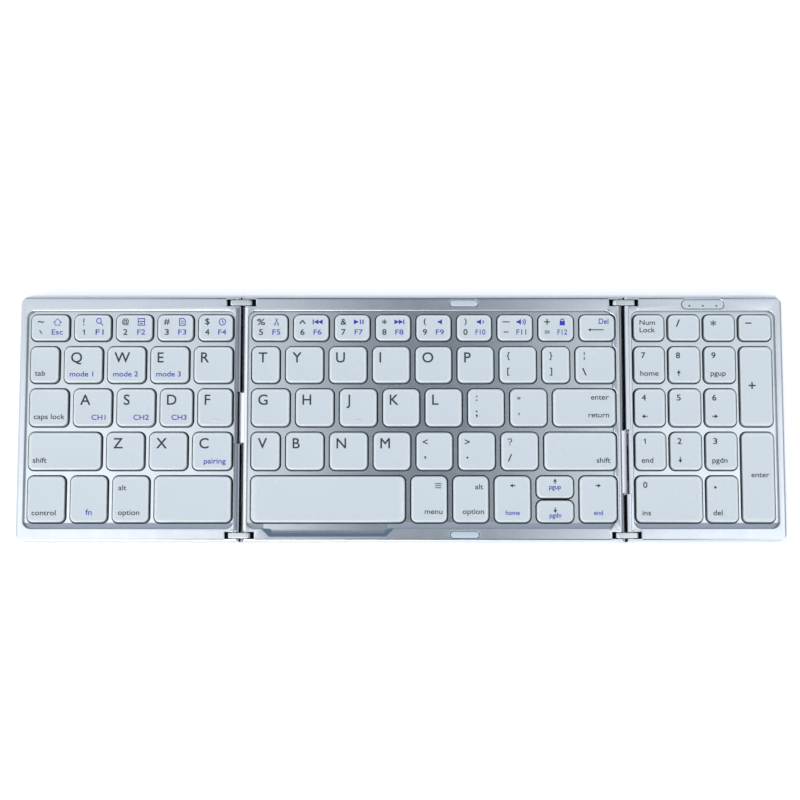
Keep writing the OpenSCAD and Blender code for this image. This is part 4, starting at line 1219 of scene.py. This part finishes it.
window = dict(thick=1.0, edge=0.16, crown=0.03, seat=(0.05, 0.16), pipeR=0.7, pitch=5.4, lampY=-0.65,
              lampR=0.36)
windowLow, windowHigh = solidBoxes("indicator_window")[0]
windowMid = (windowLow + windowHigh) / 2
paneLow = np.array([*windowLow[:2], windowHigh[2] - window["thick"]])
lampSpots = [(windowMid[0] + i * window["pitch"], windowMid[1] + window["lampY"]) for i in (-1, 0, 1)]
pipe = [(window["pipeR"], windowLow[2]), (window["pipeR"], paneLow[2] + 0.2)]
clearShapes = [pillShape((paneLow, windowHigh), window["edge"], window["crown"])]
clearShapes += [revolve(pipe, x, y, 24) for x, y in lampSpots]
clear = pieceOf(clearShapes, "indicator_window_clear", "window", "right_wing", "window", "indicator_window")
setMask(clear, "paintedLight", seatShadeMask(joined(clearShapes)[0], windowHigh[2], *window["seat"]))
lamp = [(window["lampR"], windowHigh[2] - 0.1), (window["lampR"], windowHigh[2] + 0.005),
        (window["lampR"] * 0.7, windowHigh[2] + 0.03)]
pieceOf([revolve(lamp, x, y, 20) for x, y in lampSpots], "indicator_lamps", "lamp", "right_wing", "window")

contact = dict(count=6, pitch=1.0, wide=0.45, thick=0.04, long=4.6, tongueUp=0.35, setBack=0.9, bevel=0.015)
socketLow, socketHigh = solidBoxes("charge_socket")[0]
socketMid = (socketLow + socketHigh) / 2
contactEnds = socketHigh[1] - contact["setBack"] - np.array([0, contact["long"]])[:, None]
contactShapes = []
for side in (-1, 1):
    for i in range(contact["count"]):
        x = socketMid[0] + (i - (contact["count"] - 1) / 2) * contact["pitch"]
        across = np.array([-1, 1, 1, -1])[None, :] * contact["wide"] / 2 + x
        up = np.array([-1, -1, 1, 1])[None, :] * contact["thick"] + socketMid[2] + side * contact["tongueUp"]
        contactShapes.append(closedGrid(np.stack(np.broadcast_arrays(across, contactEnds, up), axis=-1)))
contacts = pieceOf(contactShapes, "socket_contacts", "contact", "right_wing", "socket")
edgeBevel = contacts.modifiers.new("softEdge", "BEVEL")
edgeBevel.width = contact["bevel"] * mm
print("stage: fittings made")


# Domes and scissor levers under each group of keys

underKey = dict(film=3.5, ceiling=6.2, travel=1.2)
lever = dict(long=8.0, wide=9.0, bar=0.6, thick=0.6, endInset=0.12, sideInset=0.02, skin=0.03, rise=0.2,
             nested=1.6, keyEdge=3, domeGap=0.3, keyGap=1.2, count=24)
dome = dict(radius=2.6, innerR=0.6, gap=0.03, flange=0.3, shoulder=0.2, coneIn=0.45, coneUp=0.55, neckR=0.55,
            neckDrop=0.12, padR=0.48, count=28, steps=7)
room = underKey["ceiling"] - underKey["film"]


def leverAndDome(box):
    # how wide the outer lever is and the dome's radius, on a key that is that deep
    wide = min(lever["wide"], box[1][1] - box[0][1] - lever["keyEdge"])
    return wide, min(dome["radius"], wide / 2 - lever["nested"])


def domeShape(box):
    # a rubber dome: flange, a cone that leans in, a short neck and a flat pad, as one turned profile.
    # The cone's radius falls by the smooth step 3a^2 - 2a^3 while its height grows evenly with a.
    r = leverAndDome(box)[1]
    d, foot, top = dome, underKey["film"], underKey["ceiling"]
    profile = [(r * d["innerR"], foot + d["gap"]), (r, foot + d["gap"]), (r, foot + d["flange"])]
    for a in np.linspace(0, 1, d["steps"]):
        fall = (d["coneIn"] * r - d["shoulder"]) * (3 * a * a - 2 * a ** 3)
        profile.append((r - d["shoulder"] - fall, foot + d["flange"] + room * d["coneUp"] * a))
    profile += [(r * d["neckR"], top - d["neckDrop"]), (r * d["padR"], top - d["gap"])]
    return revolve(profile, *middleOf(box), d["count"])


def ringBar(x, y, wide, lean):
    # one lever: a flat ring of four bars, leaning by its rise over its length. Its height at x is the
    # middle height plus the slope times the distance from the middle.
    v = lever
    mid = (underKey["film"] + underKey["ceiling"]) / 2
    rise = (room - v["rise"] - v["thick"]) * lean / v["long"]
    count = v["count"]
    t = np.arange(count) / count * 4
    side = t.astype(int)
    square = np.array([(1, 1), (-1, 1), (-1, -1), (1, -1)], float)
    unitRing = square[side] + (square[(side + 1) % 4] - square[side]) * (t - side)[:, None]
    half = np.array([v["long"], wide]) / 2
    outer = unitRing * (half - (v["endInset"], v["sideInset"]))
    inner = unitRing * (half - v["bar"] - v["sideInset"])
    rings = []
    for shape, up in ((inner, -1), (outer, -1), (outer, 1), (inner, 1)):
        z = mid + shape[:, 0] * rise + up * (v["thick"] / 2 - v["skin"])
        rings.append(np.column_stack([shape + (x, y), z]))
    faces = [[i % (4 * count) for i in f] for f in gridFaces(5, count)]
    return np.vstack(rings), faces


def leverShapes(box):
    # a pair of crossed levers beside the dome on each side where the key is wide, else one about it
    x, y = middleOf(box)
    halfWide = (box[1][0] - box[0][0]) / 2
    wide, domeR = leverAndDome(box)
    halfLong = lever["long"] / 2
    apart = max(halfWide / 2, domeR + halfLong + lever["domeGap"])
    spread = [-apart, apart] if apart + halfLong + lever["keyGap"] < halfWide else [0]
    pair = (wide, 1), (wide - lever["nested"], -1)
    return [ringBar(x + dx, y, *shape) for dx in spread for shape in pair]


sideOf = {body: side for side, body in panels.items()}
for node in keyNodes:
    panel = panelOf[node]
    domes = [domeShape(b) for b in keyBoxes[node]]
    levers = [s for b in keyBoxes[node] for s in leverShapes(b)]
    for title, finish, shapes in (("domes", "dome", domes), ("scissors", "lever", levers)):
        below = f"{sideOf[panel]}_{title}"
        obj = pieceOf(shapes, f"{node}_{title}", finish, panel, finish, below, smoothAngle=40)
        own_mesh(obj)
print("stage: domes and levers made")


# Flat cables, each in two halves that dip into the slit

flexCable = dict(thick=0.2, steps=60, dip=0.9, dipShift=0.6, endInset=0.2, sideInset=0.1, overlap=0.1,
                 lead=0.4)


def ribbon(xs, zs, y0, y1, thick):
    # a flat strip: its middle line in X and Z, moved up and down by half its thickness along the
    # line's normal and drawn out along Y, as a closed tube of six points round
    line = np.column_stack([xs, zs])
    way = unit(np.gradient(line, axis=0))
    normal = np.column_stack([-way[:, 1], way[:, 0]]) * thick / 2
    up, down = line + normal, line - normal
    yy = np.array([y0, (y0 + y1) / 2, y1, y1, (y0 + y1) / 2, y0])
    ring = np.stack([down, down, down, up, up, up], axis=1)
    grid = np.stack([ring[..., 0], np.broadcast_to(yy, ring.shape[:2]), ring[..., 1]], axis=-1)
    return closedGrid(grid)


pinX = {j["name"]: j["pos_m"][0] / mm for j in frame["joints"] if j["name"].endswith("hinge")}
for side in ("left", "right"):
    f = flexCable
    low, high = (np.array(v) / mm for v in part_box(side + "_flex_cable"))
    pinCenter, pinWing = pinX[side + "_link_hinge"], pinX[side + "_wing_hinge"]
    out = math.copysign(1, pinWing - pinCenter)
    mid = (pinCenter + pinWing) / 2
    dipMid = (low[0] + high[0]) / 2 + out * f["dipShift"]
    near, far = sorted((low[0] + f["endInset"], high[0] - f["endInset"]), reverse=out < 0)
    halves = (("inner", near, mid, "center", side + "_link",
               (pinCenter + mid) / 2 - out * f["lead"], mid - out * f["overlap"]),
              ("outer", mid, far, side + "_link", side + "_wing",
               mid + out * f["overlap"], (pinWing + mid) / 2 + out * f["lead"]))
    for title, begin, end, bodyA, bodyB, turnBegin, turnEnd in halves:
        xs = np.sort(np.linspace(begin, end, f["steps"]))
        # the line dips by a cosine about the middle of the slit
        away = np.clip(np.abs(xs - dipMid), 0, 1)
        zs = high[2] - f["thick"] / 2 - f["dip"] * (1 + np.cos(math.pi * away)) / 2
        points, faces = ribbon(xs, zs, low[1] + f["sideInset"], high[1] - f["sideInset"], f["thick"] * 0.9)
        obj = newPiece(f"{side}_flex_{title}", points, faces, materials["flex"])
        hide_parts(side + "_flex_cable")
        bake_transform(obj)
print("stage: flat cables made")


# CAD nodes that keep their shape

carried = {
    "center_switch_plate": "plate", "left_switch_plate": "plate", "right_switch_plate": "plate",
    "battery": "cell", "main_board": "board", "charge_socket": "socket",
    "left_hinge_pins": "pin", "right_hinge_pins": "pin", "left_magnets": "magnet", "right_magnets": "magnet",
}
for node, finish in carried.items():
    mesh = frame["nodes"][node].data
    mesh.materials.clear()
    mesh.materials.append(materials[finish])
print("stage: carried nodes finished")


# Floor, light and camera

paleFloor = dict(half=1600, count=41, wave=(90, 110), drop=0.02, rise=0.01)
floorGlow = dict(strength=0.27, half=(0.1515, 0.0508))  # half the keyboard's width and depth, in metres


def whiteOutside(tree, shader):
    # the floor beside the keyboard shows as the white of the backdrop to the camera and in metal;
    # below the keyboard it stays as dark as the light leaves it
    path = tree.nodes.new("ShaderNodeLightPath").outputs
    seen = mathNode(tree, "MAXIMUM", path["Is Camera Ray"], path["Is Glossy Ray"])
    seen = mathNode(tree, "MAXIMUM", seen, path["Is Transmission Ray"])
    beside = [mathNode(tree, "GREATER_THAN", mathNode(tree, "ABSOLUTE", place), half)
              for place, half in zip(splitNode(tree, objectPlace(tree)), floorGlow["half"])]
    shown = mathNode(tree, "MULTIPLY", seen, mathNode(tree, "MAXIMUM", *beside))
    shader.inputs["Emission Strength"].default_value = floorGlow["strength"]
    tree.links.new(mixColor(tree, shown, (0, 0, 0, 1), (1, 1, 1, 1)), shader.inputs["Emission Color"])


def makeFloor():
    # a plain pale floor, a wide grid with a slow rise and fall of a few hundredths of a millimetre:
    # one plus the product of a sine along X and a sine along Y
    f = paleFloor
    u = np.linspace(-1, 1, f["count"]) * f["half"]
    x, y = np.meshgrid(u, u, indexing="ij")
    z = -f["drop"] - f["rise"] * (1 + np.sin(x / f["wave"][0]) * np.sin(y / f["wave"][1]))
    faces = [quad[::-1] for quad in gridFaces(f["count"], f["count"], closed=False)]
    mat, tree, shader = newMaterial("paleFloor", Metallic=0.0)
    grain = useGroup(tree, fineGrain, Color=(1.0, 1.0, 1.0, 1), Shade=(0.985, 0.985, 0.985, 1), Spread=0.05,
                     Cloud_Scale=3.0, Grain_Scale=900.0, Speckle=0.05, Depth=0.02, Roughness=0.85)
    finishShader(tree, shader, grain, grain)
    whiteOutside(tree, shader)
    newPiece("paleFloor", np.stack([x, y, z], axis=-1).reshape(-1, 3), faces, mat)


makeFloor()

light = dict(dome=(0.96, 0.98, 1.01), dark=(0.185, 0.222, 0.262), field=(1.8, 1.81, 1.83), middle=0.018,
             darkEdge=(0.02, 0.09), fieldEdge=(0.075, 0.12), fieldEnd=(0.34, 0.5), fieldBack=(0.065, 0.185),
             fieldFront=(-0.5, -0.3), darkBack=(0.25, 0.45),
             front=(-0.25, -0.7, 1.4), left=(-0.2, -0.7, 1.25), right=(0.22, 0.6, 0.62),
             rearEdge=(0.22, 0.6), rear=(0.2, 0.27, 0.38), horizon=(-0.02, 0.03), lowest=0.02)


def makeWorld():
    # a soft dome that is brighter in front and on the left than behind and on the right, with a dark
    # card straight above the middle panel and a bright field above each wing. Everything is worked out
    # from the direction (x, y, z): across = x / z, away = y / z.
    world = bpy.data.worlds.new("softDome")
    scene.world = world
    world.use_nodes = True
    tree = world.node_tree
    x, y, rise = splitNode(tree, tree.nodes.new("ShaderNodeTexCoord").outputs["Generated"])
    high = mathNode(tree, "MAXIMUM", rise, light["lowest"])
    across = mathNode(tree, "SUBTRACT", mathNode(tree, "DIVIDE", x, high), light["middle"])
    across = mathNode(tree, "ABSOLUTE", across)
    away = mathNode(tree, "DIVIDE", y, high)
    front = rampNode(tree, away, *light["fieldFront"])
    fields = productOf(tree, rampNode(tree, across, *light["fieldEdge"]),
                       rampNode(tree, across, *light["fieldEnd"], 1.0, 0.0),
                       rampNode(tree, away, *light["fieldBack"], 1.0, 0.0), front)
    card = productOf(tree, rampNode(tree, across, *light["darkEdge"], 1.0, 0.0),
                     rampNode(tree, away, *light["darkBack"], 1.0, 0.0), front)
    levels = []
    for value, way in ((y, "front"), (x, "left"), (x, "right")):
        near, end, far = light[way]
        span = (near, end, 1.0, far) if near < end else (end, near, far, 1.0)
        levels.append(rampNode(tree, value, *span))
    dome = mixColor(tree, productOf(tree, *levels), (0, 0, 0, 1), light["dome"] + (1,))
    dome.node.clamp_factor = False
    lit = mixColor(tree, rampNode(tree, y, *light["rearEdge"]), dome, light["rear"] + (1,))
    lit = mixColor(tree, fields, lit, light["field"] + (1,))
    lit = mixColor(tree, card, lit, light["dark"] + (1,))
    lit = mixColor(tree, rampNode(tree, rise, *light["horizon"], 1.0, 0.0), lit, (1.0, 1.0, 1.0, 1))
    tree.links.new(lit, tree.nodes["Background"].inputs["Color"])


makeWorld()


def softBox(name, place, size, power):
    # a wide lamp that faces the keyboard's middle, with its place and size in metres
    data = bpy.data.lights.new(name, "AREA")
    data.shape = "RECTANGLE"
    data.size, data.size_y = size
    data.energy = power
    lamp = bpy.data.objects.new(name, data)
    lamp.location = place
    x, y, z = place
    lamp.rotation_euler = Euler((math.atan2(math.hypot(x, y), z), 0, math.atan2(x, -y)), "XYZ")
    scene.collection.objects.link(lamp)


softBox("backSoftBox", (0.1, 1.3, 1.5), (1.4, 0.8), 3)
softBox("frontSoftBox", (-0.5, -1.5, 1.3), (1.0, 0.7), 14)

camera = dict(place=(-0.493, -82.97, 742.8), tilt=7.0, lens=83.82, sensor=36.0, clipMetres=(0.01, 50))


def makeCamera():
    data = bpy.data.cameras.new("viewCamera")
    data.lens = camera["lens"]
    data.sensor_width = camera["sensor"]
    data.clip_start, data.clip_end = camera["clipMetres"]
    obj = bpy.data.objects.new("viewCamera", data)
    obj.location = [v * mm for v in camera["place"]]
    obj.rotation_euler = (math.radians(camera["tilt"]), 0, 0)
    scene.collection.objects.link(obj)
    scene.camera = obj


makeCamera()
scene.view_settings.view_transform = "Standard"
print("stage: floor, light and camera made")

bpy.context.view_layer.update()
